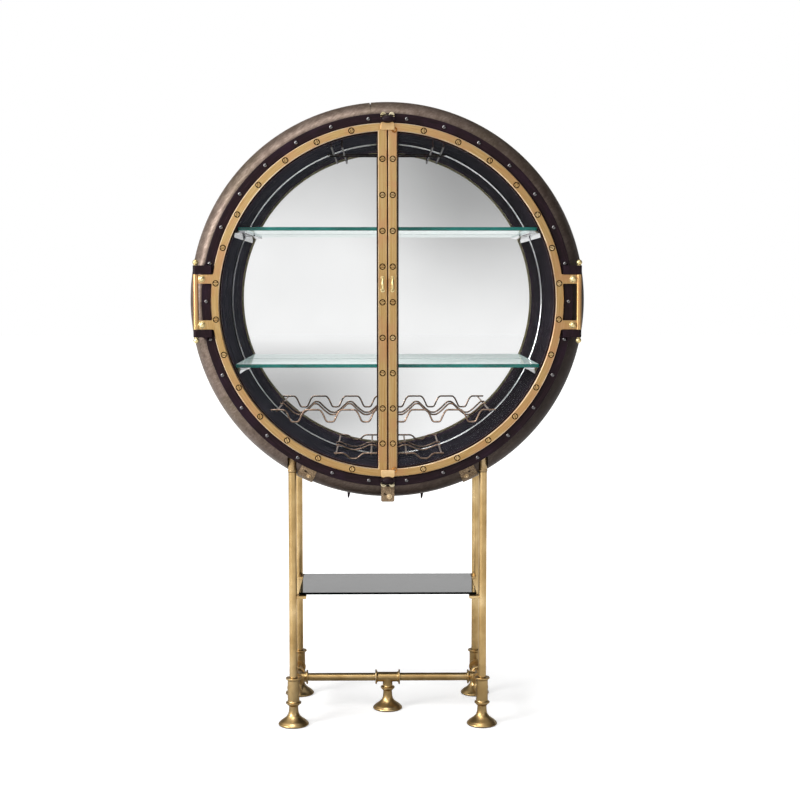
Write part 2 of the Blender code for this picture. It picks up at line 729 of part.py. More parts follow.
def make_shelf(prefix, height, glass, chrome, drum):
    farthest = abs(height) + SHELF_THICKNESS / 2
    half = liner_half_width(farthest, SHELF_END_GAP)
    low = height - SHELF_THICKNESS / 2
    shelf = box((-half, half), (SHELF_FRONT, SHELF_BACK), (low, low + SHELF_THICKNESS))
    add_part(prefix + "_glass_shelf", shelf, glass, drum)
    top = low - FIT_GAP
    bottom = top - CLIP_HEIGHT
    outer_top = liner_half_width(top, SHELF_END_GAP / 4)
    outer_bottom = liner_half_width(bottom, SHELF_END_GAP / 4)
    inner = min(outer_top, outer_bottom) - CLIP_WIDTH
    lip = CLIP_HEIGHT / 5
    for name, side in (("left", -1), ("right", 1)):
        outline = [
            (side * inner, top),
            (side * outer_top, top),
            (side * outer_bottom, bottom),
            (side * (outer_bottom - lip), bottom),
            (side * inner, top - lip),
        ]
        clip = prism(outline, (CLIP_FRONT, CLIP_BACK))
        add_part(prefix + "_" + name + "_shelf_clip", clip, chrome, drum)


def front_wire_path(centre_x, count, top, drop, end_run):
    """Front wire of a rack: flat tops between round cradles, with a flat run at each end."""
    first = centre_x - CRADLE_PITCH * (count - 1) / 2
    points = [(first - CRADLE_HALF_WIDTH - end_run, top)]
    for k in range(count):
        middle = first + CRADLE_PITCH * k
        points.append((middle - CRADLE_HALF_WIDTH, top))
        for across, down in CRADLE_SHAPE:
            points.append((middle + CRADLE_HALF_WIDTH * across, top - drop * down))
        points.append((middle + CRADLE_HALF_WIDTH, top))
    points.append((points[-1][0] + end_run, top))
    return [Vector((x, RACK_FRONT, z)) for x, z in points]


def rear_wire_path(centre_x, count, top, drop):
    """Rear wire of a rack: round peaks between wide shallow cradles. Where the liner leaves
    room, each end slopes down from its last peak."""
    half = CRADLE_PITCH / 2
    first = centre_x - half * count
    points = []
    for k in range(count + 1):
        peak = first + CRADLE_PITCH * k
        points.append((peak - half * REAR_PEAK_HALF_WIDTH, top))
        points.append((peak + half * REAR_PEAK_HALF_WIDTH, top))
        if k < count:
            for across, down in REAR_DIP_SHAPE:
                points.append((peak + half * across, top - drop * down))
    slope_end = half * REAR_DIP_SHAPE[0][0]
    slope_z = top - drop * REAR_DIP_SHAPE[0][1]
    if math.hypot(half * count + slope_end, slope_z) < LINER_INNER_RADIUS - 3 * WIRE_RADIUS:
        points.insert(0, (first - slope_end, slope_z))
        points.append((first + 2 * half * count + slope_end, slope_z))
    return [Vector((x, RACK_BACK, z)) for x, z in points]


def make_bottle_rack(name, centre_x, count, top, drop, end_run, material, drum):
    """Two wavy wires joined front to back by rods under the tops between the cradles."""
    rack = united(
        wire(front_wire_path(centre_x, count, top, drop, end_run)),
        wire(rear_wire_path(centre_x, count, top, drop)),
    )
    outermost = CRADLE_PITCH * count / 2
    middle = [-CRADLE_PITCH / 2, CRADLE_PITCH / 2] if count % 2 else [0.0]
    for x in [-outermost, *middle, outermost]:
        ends = [Vector((centre_x + x, depth, top - WIRE_RADIUS))
                for depth in (RACK_FRONT - WIRE_RADIUS, RACK_BACK + WIRE_RADIUS)]
        rack = united(rack, wire(ends, normal=(1, 0, 0)))
    add_part(name, rack, material, drum)


def make_stemware_rack(material, drum):
    """Three pairs of rails for stems on one rear cross rod. Each rail's front end bends up."""
    top = STEM_RAIL_Z + WIRE_RADIUS
    reach = liner_half_width(top, SHELF_END_GAP / 2)
    ends = [Vector((x, STEM_RACK_BACK, STEM_RAIL_Z)) for x in (-reach, reach)]
    rack = wire(ends)
    for channel in STEM_CHANNELS:
        for x in (channel - STEM_RAIL_GAP / 2, channel + STEM_RAIL_GAP / 2):
            ceiling = liner_half_width(abs(x) + WIRE_RADIUS, SHELF_END_GAP / 2)
            path = [
                Vector((x, STEM_RACK_FRONT, ceiling)),
                Vector((x, STEM_RACK_FRONT, STEM_RAIL_Z + STEM_HOOK_BEND)),
                Vector((x, STEM_RACK_FRONT + STEM_HOOK_BEND, STEM_RAIL_Z)),
                Vector((x, STEM_RACK_BACK + WIRE_RADIUS, STEM_RAIL_Z)),
            ]
            rack = united(rack, wire(path, normal=(1, 0, 0)))
    add_part("stemware_rack", rack, material, drum)


# Stand

def foot_profile():
    """Bell foot: a rounded rim, a bell-shaped flare up to the neck and a conical cap."""
    points = [(FOOT_BASE_RADIUS, 0.0), (FOOT_RADIUS, FOOT_RIM_HEIGHT / 2), (FOOT_RADIUS, FOOT_RIM_HEIGHT)]
    for i in range(FOOT_BELL_STEPS + 1):
        height = FOOT_BELL_BOTTOM + (FOOT_NECK_TOP - FOOT_BELL_BOTTOM) * i / FOOT_BELL_STEPS
        rise = (height - FOOT_BELL_BOTTOM) / FOOT_BELL_SCALE
        swell = math.exp(-rise ** FOOT_BELL_POWER)
        points.append((FOOT_NECK_RADIUS + (FOOT_BELL_RADIUS - FOOT_NECK_RADIUS) * swell, height))
    points.append((FOOT_CAP_RADIUS, FOOT_HEIGHT - FIT_GAP - FOOT_CAP_EDGE))
    points.append((FOOT_CAP_RADIUS, FOOT_HEIGHT - FIT_GAP))
    return points


def flared_end(radius, flange_radius, end, inward):
    """Outer half of a fitting's lip: a thin flange that flares out of the body."""
    flange = end + inward * TEE_FLANGE_THICKNESS
    return [
        (flange_radius, end),
        (flange_radius, flange),
        ((radius * 2 + flange_radius) / 3, flange + inward * TEE_FLARE / 3),
        (radius, flange + inward * TEE_FLARE),
    ]


def tee_body(low, high, radius, flange_radius):
    """Turned body of a pipe fitting, with a flared flange at each end."""
    bottom = flared_end(radius, flange_radius, low, 1)
    top = flared_end(radius, flange_radius, high, -1)
    return turned(bottom + top[::-1])


def tee_branch(reach):
    """Side outlet of a fitting along +Z, to be turned to its direction."""
    lip = flared_end(BRANCH_RADIUS, BRANCH_FLANGE_RADIUS, reach, -1)
    return turned([(BRANCH_RADIUS, 0.0)] + lip[::-1])


def make_pipework(brass, stand):
    foot_places = {"centre_foot": (0.0, MIDDLE_DEPTH)}
    to_mid = MIDDLE_DEPTH - FRONT_LEG_DEPTH
    for side_name, side in (("left", -1), ("right", 1)):
        for end_name, depth, inward in (("front", FRONT_LEG_DEPTH, 1), ("rear", REAR_LEG_DEPTH, -1)):
            label = end_name + "_" + side_name
            foot_places[label + "_foot"] = (side * LEG_X, depth)
            body = tee_body(FOOT_HEIGHT, TEE_TOP, TEE_RADIUS, TEE_FLANGE_RADIUS)
            branch = tee_branch(BRANCH_LENGTH)
            lie = Matrix.Rotation(-inward * math.pi / 2, 4, "X")
            tee = united(body, moved(branch, (0, 0, BAR_HEIGHT), lie))
            add_part(label + "_leg_tee", moved(tee, (side * LEG_X, depth, 0)), brass, stand)
            start = BRANCH_LENGTH + FIT_GAP
            bar = turned([(BAR_RADIUS, start), (BAR_RADIUS, to_mid - CENTRE_TEE_REACH - FIT_GAP)])
            bar = moved(bar, (side * LEG_X, depth, BAR_HEIGHT), lie)
            add_part(label + "_side_bar", bar, brass, stand)
        through = along_y(tee_body(-CENTRE_TEE_REACH, CENTRE_TEE_REACH, TEE_RADIUS, TEE_FLANGE_RADIUS))
        branch = moved(tee_branch(INNER_BRANCH_LENGTH),
                       rotation=Matrix.Rotation(-side * math.pi / 2, 4, "Y"))
        mid_tee = moved(united(through, branch), (side * LEG_X, MIDDLE_DEPTH, BAR_HEIGHT))
        add_part(side_name + "_mid_tee", mid_tee, brass, stand)
        start = CENTRE_TEE_REACH + FIT_GAP
        cross = turned([(BAR_RADIUS, start), (BAR_RADIUS, LEG_X - INNER_BRANCH_LENGTH - FIT_GAP)])
        cross = moved(cross, (0, MIDDLE_DEPTH, BAR_HEIGHT), Matrix.Rotation(side * math.pi / 2, 4, "Y"))
        add_part(side_name + "_cross_bar", cross, brass, stand)
    through = along_x(tee_body(-CENTRE_TEE_REACH, CENTRE_TEE_REACH, BRANCH_RADIUS, TEE_FLANGE_RADIUS))
    drop = moved(tee_branch(BAR_HEIGHT - FOOT_HEIGHT), rotation=Matrix.Rotation(math.pi, 4, "X"))
    centre_tee = moved(united(through, drop), (0, MIDDLE_DEPTH, BAR_HEIGHT))
    add_part("centre_tee", centre_tee, brass, stand)
    for name, (x, depth) in foot_places.items():
        add_part(name, moved(turned(foot_profile(), steps=FOOT_STEPS), (x, depth, 0)), brass, stand)


def leg_tab(side, inward):
    """Tab welded to a leg, on which a corner of the stand's glass shelf lies."""
    top = STAND_SHELF_TOP - STAND_SHELF_THICKNESS - FIT_GAP
    reach = FRONT_TAB_REACH if inward > 0 else REAR_TAB_REACH
    overlap = LEG_RADIUS * 0.4
    return box(
        sorted((0.0, side * (LEG_TAB_INNER_X - LEG_X))),
        sorted((-inward * overlap, inward * reach)),
        (top - LEG_TAB_THICKNESS, top),
    )


def make_legs(brass, stand):
    foot_of_leg = TEE_TOP + FIT_GAP
    for side_name, side in (("left", -1), ("right", 1)):
        front = turned([
            (LEG_RADIUS, foot_of_leg),
            (LEG_RADIUS, LEG_BEAD_HEIGHT - LEG_BEAD_THICKNESS),
            (LEG_BEAD_RADIUS, LEG_BEAD_HEIGHT - LEG_BEAD_THICKNESS / 2),
            (LEG_BEAD_RADIUS, LEG_BEAD_HEIGHT + LEG_BEAD_THICKNESS / 2),
            (LEG_COLLAR_FOOT_RADIUS, LEG_BEAD_HEIGHT + LEG_BEAD_THICKNESS),
            (LEG_COLLAR_TOP_RADIUS, LEG_TOP),
        ])
        front = united(front, leg_tab(side, 1))
        front = moved(front, (side * LEG_X, FRONT_LEG_DEPTH, 0))
        add_part("front_" + side_name + "_leg", front, brass, stand)
        rear = turned([(LEG_RADIUS, foot_of_leg), (LEG_RADIUS, LEG_TOP)])
        rear = united(rear, leg_tab(side, -1))
        rear = moved(rear, (side * LEG_X, REAR_LEG_DEPTH, 0))
        hollow = drum_disc(SHELL_RADIUS + FIT_GAP, RIM_FRONT, 2 * SHELL_BACK)
        rear = cut(rear, moved(hollow, (0, 0, DRUM_HEIGHT)))
        add_part("rear_" + side_name + "_leg", rear, brass, stand)


def make_stand_shelf(glass, stand):
    top = STAND_SHELF_TOP
    shelf = box(
        (-STAND_SHELF_HALF_WIDTH, STAND_SHELF_HALF_WIDTH),
        (STAND_SHELF_FRONT, STAND_SHELF_BACK),
        (top - STAND_SHELF_THICKNESS, top),
    )
    add_part("stand_shelf", shelf, glass, stand)


def build():
    clear_scene()
    bronze_skin = finish_material("hammered_bronze", (0.30, 0.25, 0.22), 0.42, 0.55)
    dark_iron = finish_material("dark_plum_iron", (0.05, 0.028, 0.033), 0.45, 0.6)
    brass = finish_material("satin_brass", (0.60, 0.42, 0.19), 0.32, 1.0)
    old_brass = finish_material("antique_brass", (0.42, 0.30, 0.14), 0.38, 1.0)
    old_bronze = finish_material("bronze_casting", (0.22, 0.17, 0.11), 0.5, 0.9)
    liner_black = finish_material("scuffed_blue_black", (0.03, 0.032, 0.045), 0.3, 0.0)
    mirror_silver = finish_material("mirror_silver", (0.9, 0.91, 0.91), 0.02, 1.0)
    chrome = finish_material("polished_chrome", (0.8, 0.8, 0.82), 0.1, 1.0)
    timber = finish_material("stained_plywood", (0.09, 0.055, 0.035), 0.6, 0.0)
    clear_glass = finish_material("clear_glass", (0.85, 0.95, 0.92), 0.02, 0.0, 1.0)
    smoked_glass = finish_material("smoked_glass", (0.08, 0.09, 0.09), 0.05, 0.0, 0.6)
    wire_bronze = finish_material("bronze_wire", (0.25, 0.17, 0.12), 0.4, 0.9)

    stand = add_empty("stand", (0, RING_FACE_Y, 0))
    drum = add_empty("drum_axis", (0, 0, DRUM_HEIGHT), stand)
    make_outer_shell(bronze_skin, drum)
    make_front_ring(dark_iron, drum)
    make_drum_inside(liner_black, mirror_silver, chrome, timber, drum)
    make_studs(dark_iron, drum)
    make_brackets(old_bronze, drum)
    for prefix, side in (("left", -1), ("right", 1)):
        hinge = add_empty(prefix + "_hinge_axis", (side * HINGE_X, HINGE_DEPTH, 0), drum)
        make_door_frame(prefix + "_door_frame", side, brass, hinge)
        make_door_glazing(prefix, side, clear_glass, brass, hinge)
        make_pull(prefix + "_door_pull", side, brass, hinge)
        make_hinge_pin(prefix + "_hinge_pin", side, brass, drum)
    make_latch("top", 1, brass, dark_iron, drum)
    make_latch("bottom", -1, brass, dark_iron, drum)
    make_shelf("upper", UPPER_SHELF_Z, clear_glass, chrome, drum)
    make_shelf("lower", LOWER_SHELF_Z, clear_glass, chrome, drum)
    make_bottle_rack("upper_bottle_rack", UPPER_RACK_X, UPPER_RACK_CRADLES, UPPER_RACK_Z,
                     UPPER_RACK_DROP, UPPER_RACK_END, wire_bronze, drum)
    make_bottle_rack("lower_bottle_rack", LOWER_RACK_X, LOWER_RACK_CRADLES, LOWER_RACK_Z,
                     LOWER_RACK_DROP, LOWER_RACK_END, wire_bronze, drum)
    make_stemware_rack(wire_bronze, drum)
    make_legs(old_brass, stand)
    make_pipework(old_brass, stand)
    make_stand_shelf(smoked_glass, stand)


build()
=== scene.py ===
import math
import random

import bmesh
import bpy
from mathutils import Matrix, Vector


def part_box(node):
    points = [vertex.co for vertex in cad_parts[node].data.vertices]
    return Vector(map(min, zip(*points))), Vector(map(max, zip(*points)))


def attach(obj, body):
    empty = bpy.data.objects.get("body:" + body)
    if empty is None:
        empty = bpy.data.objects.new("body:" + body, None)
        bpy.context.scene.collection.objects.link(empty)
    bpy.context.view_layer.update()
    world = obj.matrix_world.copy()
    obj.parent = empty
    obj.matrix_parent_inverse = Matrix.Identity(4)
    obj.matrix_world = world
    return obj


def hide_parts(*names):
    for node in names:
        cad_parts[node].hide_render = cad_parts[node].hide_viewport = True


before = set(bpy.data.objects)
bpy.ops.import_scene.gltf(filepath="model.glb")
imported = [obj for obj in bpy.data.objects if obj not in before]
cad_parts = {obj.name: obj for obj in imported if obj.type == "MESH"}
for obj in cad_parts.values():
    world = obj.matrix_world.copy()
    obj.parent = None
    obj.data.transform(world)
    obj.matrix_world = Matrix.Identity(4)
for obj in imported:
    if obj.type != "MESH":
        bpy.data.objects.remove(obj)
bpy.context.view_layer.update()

# Finish of a round bar cabinet on a stand of brass pipe. Metres, +Z up, front along -Y.
# Depths are measured back from the front face of the dark ring, and angles round the drum run
# clockwise from its top, seen from the front.

RING_THICKNESS = 0.0175
ring_low, ring_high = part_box("front_ring")
shell_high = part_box("outer_shell")[1]
RING_FACE = ring_high.y - RING_THICKNESS
DRUM_Z = (ring_low.z + ring_high.z) / 2
SHELL_RADIUS = shell_high.x
SHELL_BACK = shell_high.y - RING_FACE
FIT_GAP = 0.0003
SIDES = (("left", -1), ("right", 1))
DRUM_STEPS = 240
PIPE_STEPS = 48

# Drum
SHELL_WALL = 0.008
RIM_INNER_RADIUS = 0.4705
RIM_FRONT = 0.0178
RIM_BACK = 0.085
SHOULDER_DEPTH = 0.075
SHOULDER_STEPS = 20
SHELL_SEAM_ANGLE = math.radians(-5.0)
SHELL_SEAM_WIDTH = 0.0026
SHELL_SEAM_DEPTH = 0.0040
RING_OUTER_RADIUS = 0.5085
RING_INNER_RADIUS = 0.4835
RING_BEVEL = 0.0025
RIVET_CIRCLE = 0.4955
RIVET_RADIUS = 0.0061
RIVET_HEIGHT = 0.0040
RIVET_COUNT = 30
LINER_INNER_RADIUS = 0.462
LINER_WALL = 0.004
LINER_FRONT = 0.0115
LINER_BACK = 0.346
MIRROR_RADIUS = 0.4603
MIRROR_FRONT = 0.339
MIRROR_THICKNESS = 0.005
BEAD_INNER_RADIUS = 0.4555
BEAD_OUTER_RADIUS = 0.4612
BEAD_THICKNESS = 0.0045
BACK_EDGE_GAP = 0.0005
BACK_SCREWS = 16
BACK_SCREW_INSET = 0.018
BACK_SCREW_HEAD = ((0.0045, -0.0003), (0.0045, 0.0008), (0.0030, 0.0016), (0.0008, 0.0019))

# Doors
DOOR_OUTER_RADIUS = 0.482
DOOR_OPENING_RADIUS = 0.460
DOOR_FRONT = -0.008
DOOR_BACK = 0.004
DOOR_BEVEL = 0.002
MEETING_GAP = 0.004
STILE_WIDTH = 0.024
REBATE_WIDTH = 0.0115
REBATE_FRONT = -0.001
DOOR_ARC_STEPS = 120
DOOR_GLASS_THICKNESS = 0.0043
GLASS_EDGE_GAP = 0.0004
RETAINER_INNER_RADIUS = 0.456
RETAINER_OUTER_RADIUS = 0.480
RETAINER_THICKNESS = 0.004
SCREW_CIRCLE = 0.4708
SCREW_STEP = math.radians(12)
SCREWS_ON_ARC = 14
STILE_SCREWS = 9
STILE_SCREW_PITCH = 0.0969
STILE_SCREW_MIDDLE = -0.0022
SCREW_RADIUS = 0.0066
RECESS_RADIUS = 0.0087
RECESS_DEPTH = 0.0012
SLOT_BOTTOM = 0.0011
SLOT_MOUTH = 0.0032
SEAL_HALF_WIDTH = 0.0036
SEAL_THICKNESS = 0.0012
PULL_HEIGHT = 0.034
PULL_X = 0.0135
PULL_Z = 0.047
PULL_REACH = 0.0175
PULL_RADIUS = 0.0036
PULL_SEAT = ((0.0054, -0.0003), (0.0054, 0.0011), (0.0030, 0.0016))

# Door hinges
HINGE_X = 0.523
HINGE_DEPTH = -0.005
PIN_RADIUS = 0.004
KNUCKLE_BORE = 0.0045
BARREL_RADIUS = 0.0075
BARREL_BORE = 0.0047
BARREL_TOP = 0.0735
BARREL_BOTTOM = -0.0765
ARM_HEIGHT = 0.025
ARM_FRONT = -0.0085
ARM_BACK = -0.0012
ARM_INNER_X = 0.4725
ARM_FLARE = 0.002
ARM_BOLT_X = 0.506
ARM_BOLT_RADIUS = 0.0085
KNUCKLE_TOP = 0.098
KNUCKLE_GAP = 0.0008
KNUCKLE_FRONT = -0.0125
KNUCKLE_INNER_X = 0.4795
UPPER_KNUCKLE_FILLET = 0.004
LOWER_KNUCKLE_FILLET = 0.009
FINIAL_RADIUS = 0.008

# Latches
LATCH_AXIS_RADIUS = 0.4915
LATCH_AXIS_DEPTH = -0.0145
LATCH_WIDTH = 0.039
LATCH_BARREL_RADIUS = 0.0102
LATCH_BARREL_END_RADIUS = 0.0065
LATCH_BARREL_LENGTH = 0.029
JOURNAL_RADIUS = 0.003
EAR_RADIUS = 0.0078
EAR_THICKNESS = 0.0043
LATCH_PLATE_FRONT = -0.0036
LATCH_PLATE_BACK = -0.0004
LATCH_PLATE_LOW = 0.4845
LOBE_CENTRE_RADIUS = 0.5035
LOBE_RADIUS = 0.0078
LOBE_X = 0.0115
LOBE_FRONT = -0.009
FLAP_RANGE = (0.4625, 0.4832)
FLAP_TONGUE_TOP = 0.4885
FLAP_CORNER = 0.005
FLAP_FRONT = -0.0130
FLAP_BACK = -0.0092
LATCH_EYE_RADIUS = 0.0060
LATCH_EYE_WIRE = 0.0017

# Brackets and studs
BRACKET_THICKNESS = 0.003
BRACKET_GAP = 0.0007
SIDE_BRACKET_ANGLE = math.radians(154.8)
SIDE_BRACKET_WIDTH = 0.048
BRACKET_WRAP = 0.025
BRACKET_HOLE_RADIUS = 0.0042
BRACKET_HOLE_SHAPE = (1.3, 0.75)
WASHER = ((0.0055, -0.0012), (0.0074, -0.0012), (0.0074, 0.0010), (0.0055, 0.0012))
BOLT_STEM = ((0.0036, -0.001), (0.0036, 0.0034), (0.0028, 0.0046), (0.0005, 0.0050))
SIDE_BRACKET_HOLE = (0.20, -0.0050)
SIDE_BRACKET_BOLT = (0.36, 0.0085)
BOTTOM_BRACKET_WIDTH = 0.037
BOTTOM_BRACKET_RANGE = (0.5115, 0.5545)
BOTTOM_BRACKET_CORNER = 0.003
BOTTOM_BRACKET_WRAP_WIDTH = 0.028
BOTTOM_BRACKET_HOLE = (-0.0080, -0.5330)
BOTTOM_BRACKET_BOLT = (0.0045, -0.5395)

# Shelves and racks
WIRE_RADIUS = 0.0025
RACK_FRONT = 0.090
RACK_BACK = 0.300
CRADLE_PITCH = 0.0997
CRADLE_HALF_WIDTH = 0.029
CRADLE_SHAPE = ((-0.75, 0.25), (-0.36, 1.0), (0.36, 1.0), (0.75, 0.25))
REAR_DIP_SHAPE = ((0.55, 0.62), (0.85, 0.95), (1.15, 0.95), (1.45, 0.62))
REAR_PEAK_HALF_WIDTH = 0.12
# name: (middle, number of cradles, height, depth of a cradle, straight run at each end)
BOTTLE_RACKS = {
    "upper_bottle_rack": (-0.012, 6, -0.305, 0.034, 0.038),
    "lower_bottle_rack": (0.0035, 3, -0.428, 0.015, 0.026),
}
STEM_RAIL_Z = 0.424
STEM_RAIL_GAP = 0.030
STEM_CHANNELS = (-0.140, 0.0, 0.140)
STEM_RACK_FRONT = 0.060
STEM_RACK_BACK = 0.310
STEM_HOOK_BEND = 0.006

# Stand
LEG_X = 0.266
FRONT_LEG_DEPTH = 0.042
REAR_LEG_DEPTH = 0.354
MIDDLE_DEPTH = (FRONT_LEG_DEPTH + REAR_LEG_DEPTH) / 2
LEG_RADIUS = 0.0112
LEG_COLLAR_FOOT_RADIUS = 0.0115
LEG_COLLAR_TOP_RADIUS = 0.0127
LEG_BEAD_RADIUS = 0.0128
LEG_BEAD_HEIGHT = 0.7235
LEG_BEAD_BULGE = 0.0016
LEG_BEAD_HALF_HEIGHT = 0.0028
LEG_BEAD_REACH = 0.0035
LEG_PATINA_AND_SHADE_BAND = (-0.0046, -0.0025)
LEG_TOP = 0.763
GROOVE_RADIUS = 0.0133
GROOVE_MOUTH_HALF_WIDTH = 0.0131
GROOVE_LIP = 0.0028
FOOT_HEIGHT = 0.062
FOOT_BASE_RADIUS = 0.040
FOOT_RADIUS = 0.043
FOOT_BELL_RADIUS = 0.0395
FOOT_BELL_BOTTOM = 0.009
FOOT_BELL_SCALE = 0.0135
FOOT_BELL_POWER = 1.5
FOOT_NECK_RADIUS = 0.0129
FOOT_NECK_TOP = 0.054
FOOT_CAP_RADIUS = 0.0185
TEE_TOP = 0.136
TEE_RADIUS = 0.0165
TEE_FLANGE_RADIUS = 0.0215
TEE_FLANGE_THICKNESS = 0.0042
TEE_FLARE = 0.005
BAR_HEIGHT = 0.0945
BAR_RADIUS = 0.0114
BRANCH_RADIUS = 0.0141
BRANCH_FLANGE_RADIUS = 0.0205
BRANCH_LENGTH = 0.044
INNER_BRANCH_LENGTH = 0.033
CENTRE_TEE_REACH = 0.036
LEG_TAB_THICKNESS = 0.008
LEG_TAB_INNER_X = 0.229
FRONT_TAB_REACH = 0.028
REAR_TAB_REACH = 0.045

# Cast brass: (face, light, dark, patina, roughness, reach of the hollows, patina's share, metallic)
CAST_BRASS = {
    "screw_brass": ((222, 184, 124), (240, 210, 156), (186, 142, 84), (110, 66, 28), 0.30, 0.002, 0.9, 1.0),
    "hinge_brass": ((218, 202, 150), (240, 230, 190), (192, 168, 112), (84, 54, 24), 0.26, 0.004, 0.9, 0.8),
    "eye_brass": ((150, 98, 46), (196, 140, 78), (104, 62, 24), (64, 34, 12), 0.30, 0.004, 0.9, 1.0),
    "lobe_brass": ((216, 204, 172), (240, 232, 206), (170, 152, 104), (96, 70, 34), 0.26, 0.003, 0.9, 0.6),
    "flap_brass": ((216, 180, 128), (238, 208, 164), (188, 148, 96), (86, 50, 22), 0.32, 0.004, 0.9, 0.7),
    "bolt_brass": ((206, 178, 136), (234, 210, 170), (160, 130, 90), (44, 30, 18), 0.34, 0.004, 0.9, 0.5),
    "antique_brass": ((184, 155, 106), (204, 178, 132), (164, 134, 86), (86, 58, 30), 0.30, 0.005, 0.75, 1.0),
    # Lit copy of the antique brass for the leg's collar: lighter and less metallic, as painted light.
    "lit_collar_brass": ((190, 160, 112), (216, 190, 146), (164, 134, 88), (80, 54, 28), 0.32, 0.010, 0.9, 0.35),
}

# Stage and light. Each lamp: (place, diameter, power, whether it shows in reflections)
FLOOR_REACH = 30.0
FLOOR_THICKNESS = 0.02
AMBIENT_STRENGTH = 0.38
LAMP_AIM = Vector((0.0, 0.0, 1.1))
LAMPS = {
    "key_lamp": ((-3.4, -2.4, 2.2), 2.0, 165.0, True),
    "fill_lamp": ((2.6, -3.6, 1.6), 2.4, 18.0, True),
    "top_lamp": ((-0.8, -1.8, 3.8), 1.6, 34.0, True),
    "back_lamp": ((1.0, 2.6, 4.2), 2.2, 20.0, False),
}

# Camera that took the view, and its render's size
VIEW_FOCAL_PIXELS = 1449.36
VIEW_PIXELS = 800
SENSOR_MM = 36.0
CAMERA_PLACE = Vector((-0.0171, RING_FACE - 3.9715, 1.2426))
CAMERA_YAW = 0.0128
CAMERA_PITCH = 0.08012


# Colour and material nodes

def srgb(red, green, blue):
    """Linear colour of an 8-bit one."""
    shades = []
    for value in (red, green, blue):
        share = value / 255
        shades.append(share / 12.92 if share <= 0.04045 else ((share + 0.055) / 1.055) ** 2.4)
    return (*shades, 1.0)


class Nodes:
    """Short calls that add nodes to a tree. Each input is a socket to link or a value to set."""

    def __init__(self, tree):
        self.tree = tree

    def feed(self, socket, value):
        if isinstance(value, bpy.types.NodeSocket):
            self.tree.links.new(value, socket)
        else:
            socket.default_value = value

    def node(self, kind, inputs=None, **settings):
        made = self.tree.nodes.new("ShaderNode" + kind)
        for key, value in settings.items():
            setattr(made, key, value)
        for key, value in (inputs or {}).items():
            self.feed(made.inputs[key], value)
        return made

    def calc(self, operation, first, second=0.0):
        return self.node("Math", {0: first, 1: second}, operation=operation).outputs[0]

    def times(self, first, second):
        return self.calc("MULTIPLY", first, second)

    def plus(self, first, second):
        return self.calc("ADD", first, second)

    def level(self, value, low, high, to_low=0.0, to_high=1.0, curve="LINEAR"):
        made = self.node("MapRange", {"Value": value, "From Min": low, "From Max": high,
                                      "To Min": to_low, "To Max": to_high}, interpolation_type=curve)
        return made.outputs[0]

    def fade(self, value, low, high, to_low=0.0, to_high=1.0):
        """A level with soft ends."""
        return self.level(value, low, high, to_low, to_high, "SMOOTHSTEP")


class Finish(Nodes):
    """One Principled material with procedural nodes."""

    def __init__(self, name, **sockets):
        self.material = bpy.data.materials.new(name)
        self.material.use_nodes = True
        super().__init__(self.material.node_tree)
        self.shader = self.tree.nodes["Principled BSDF"]
        for key, value in sockets.items():
            self.set(key.replace("_", " "), value)
        self.place = self.node("TexCoord").outputs["Object"]

    def set(self, socket, value):
        self.feed(self.shader.inputs[socket], value)

    def noise(self, scale, detail=3.0, vector=None, roughness=0.55):
        where = self.place if vector is None else vector
        made = self.node("TexNoise", {"Vector": where, "Scale": scale, "Detail": detail,
                                      "Roughness": roughness})
        return made.outputs[0]

    def cells(self, scale):
        made = self.node("TexVoronoi", {"Vector": self.place, "Scale": scale}, feature="SMOOTH_F1")
        return made.outputs["Distance"]

    def blend(self, factor, first, second):
        return self.node("Mix", {0: factor, 6: first, 7: second}, data_type="RGBA").outputs[2]

    def stain_or_shade(self, tone, mask, low, high, most, colour):
        """Colour over the tone: none where the mask is low, and at most a share where it is high. Some calls
        lay real staining, and some lay painted shade.
        """
        return self.blend(self.level(mask, low, high, 0.0, most), tone, colour)

    def ramp(self, factor, *stops):
        made = self.node("ValToRGB", {0: factor})
        marks = made.color_ramp.elements
        while len(marks) < len(stops):
            marks.new(0.5)
        for mark, (position, colour) in zip(marks, stops):
            mark.position = position
            mark.color = colour
        return made.outputs[0]

    def roughness(self, mask, at_low, at_high):
        self.set("Roughness", self.level(mask, 0.3, 0.7, at_low, at_high))

    def split(self):
        return self.node("SeparateXYZ", {0: self.place}).outputs

    def vector(self, x, y, z):
        return self.node("CombineXYZ", {0: x, 1: y, 2: z}).outputs[0]

    def stretched(self, wide, deep, high):
        """Object coordinates, each multiplied by its own number."""
        return self.vector(*[self.times(*pair) for pair in zip(self.split(), (wide, deep, high))])

    def round_drum(self):
        """Radius and angle about the drum's axis."""
        x, _, z = self.split()
        up = self.calc("SUBTRACT", z, DRUM_Z)
        radius = self.calc("SQRT", self.plus(self.times(x, x), self.times(up, up)))
        return radius, self.calc("ARCTAN2", x, up)

    def along_ring(self, across, around, deep):
        """Coordinates whose noise runs in streaks round the drum."""
        radius, angle = self.round_drum()
        depth = self.split()[1]
        return self.vector(self.times(radius, across), self.times(angle, around), self.times(depth, deep))

    def hollows(self, reach):
        """0 in tight corners, 1 on open surfaces."""
        return self.node("AmbientOcclusion", {"Distance": reach}, samples=6).outputs["AO"]

    def bump(self, height, distance, strength=1.0, after=None):
        inputs = {"Height": height, "Distance": distance, "Strength": strength}
        if after is not None:
            inputs["Normal"] = after
        normal = self.node("Bump", inputs).outputs[0]
        self.set("Normal", normal)
        return normal


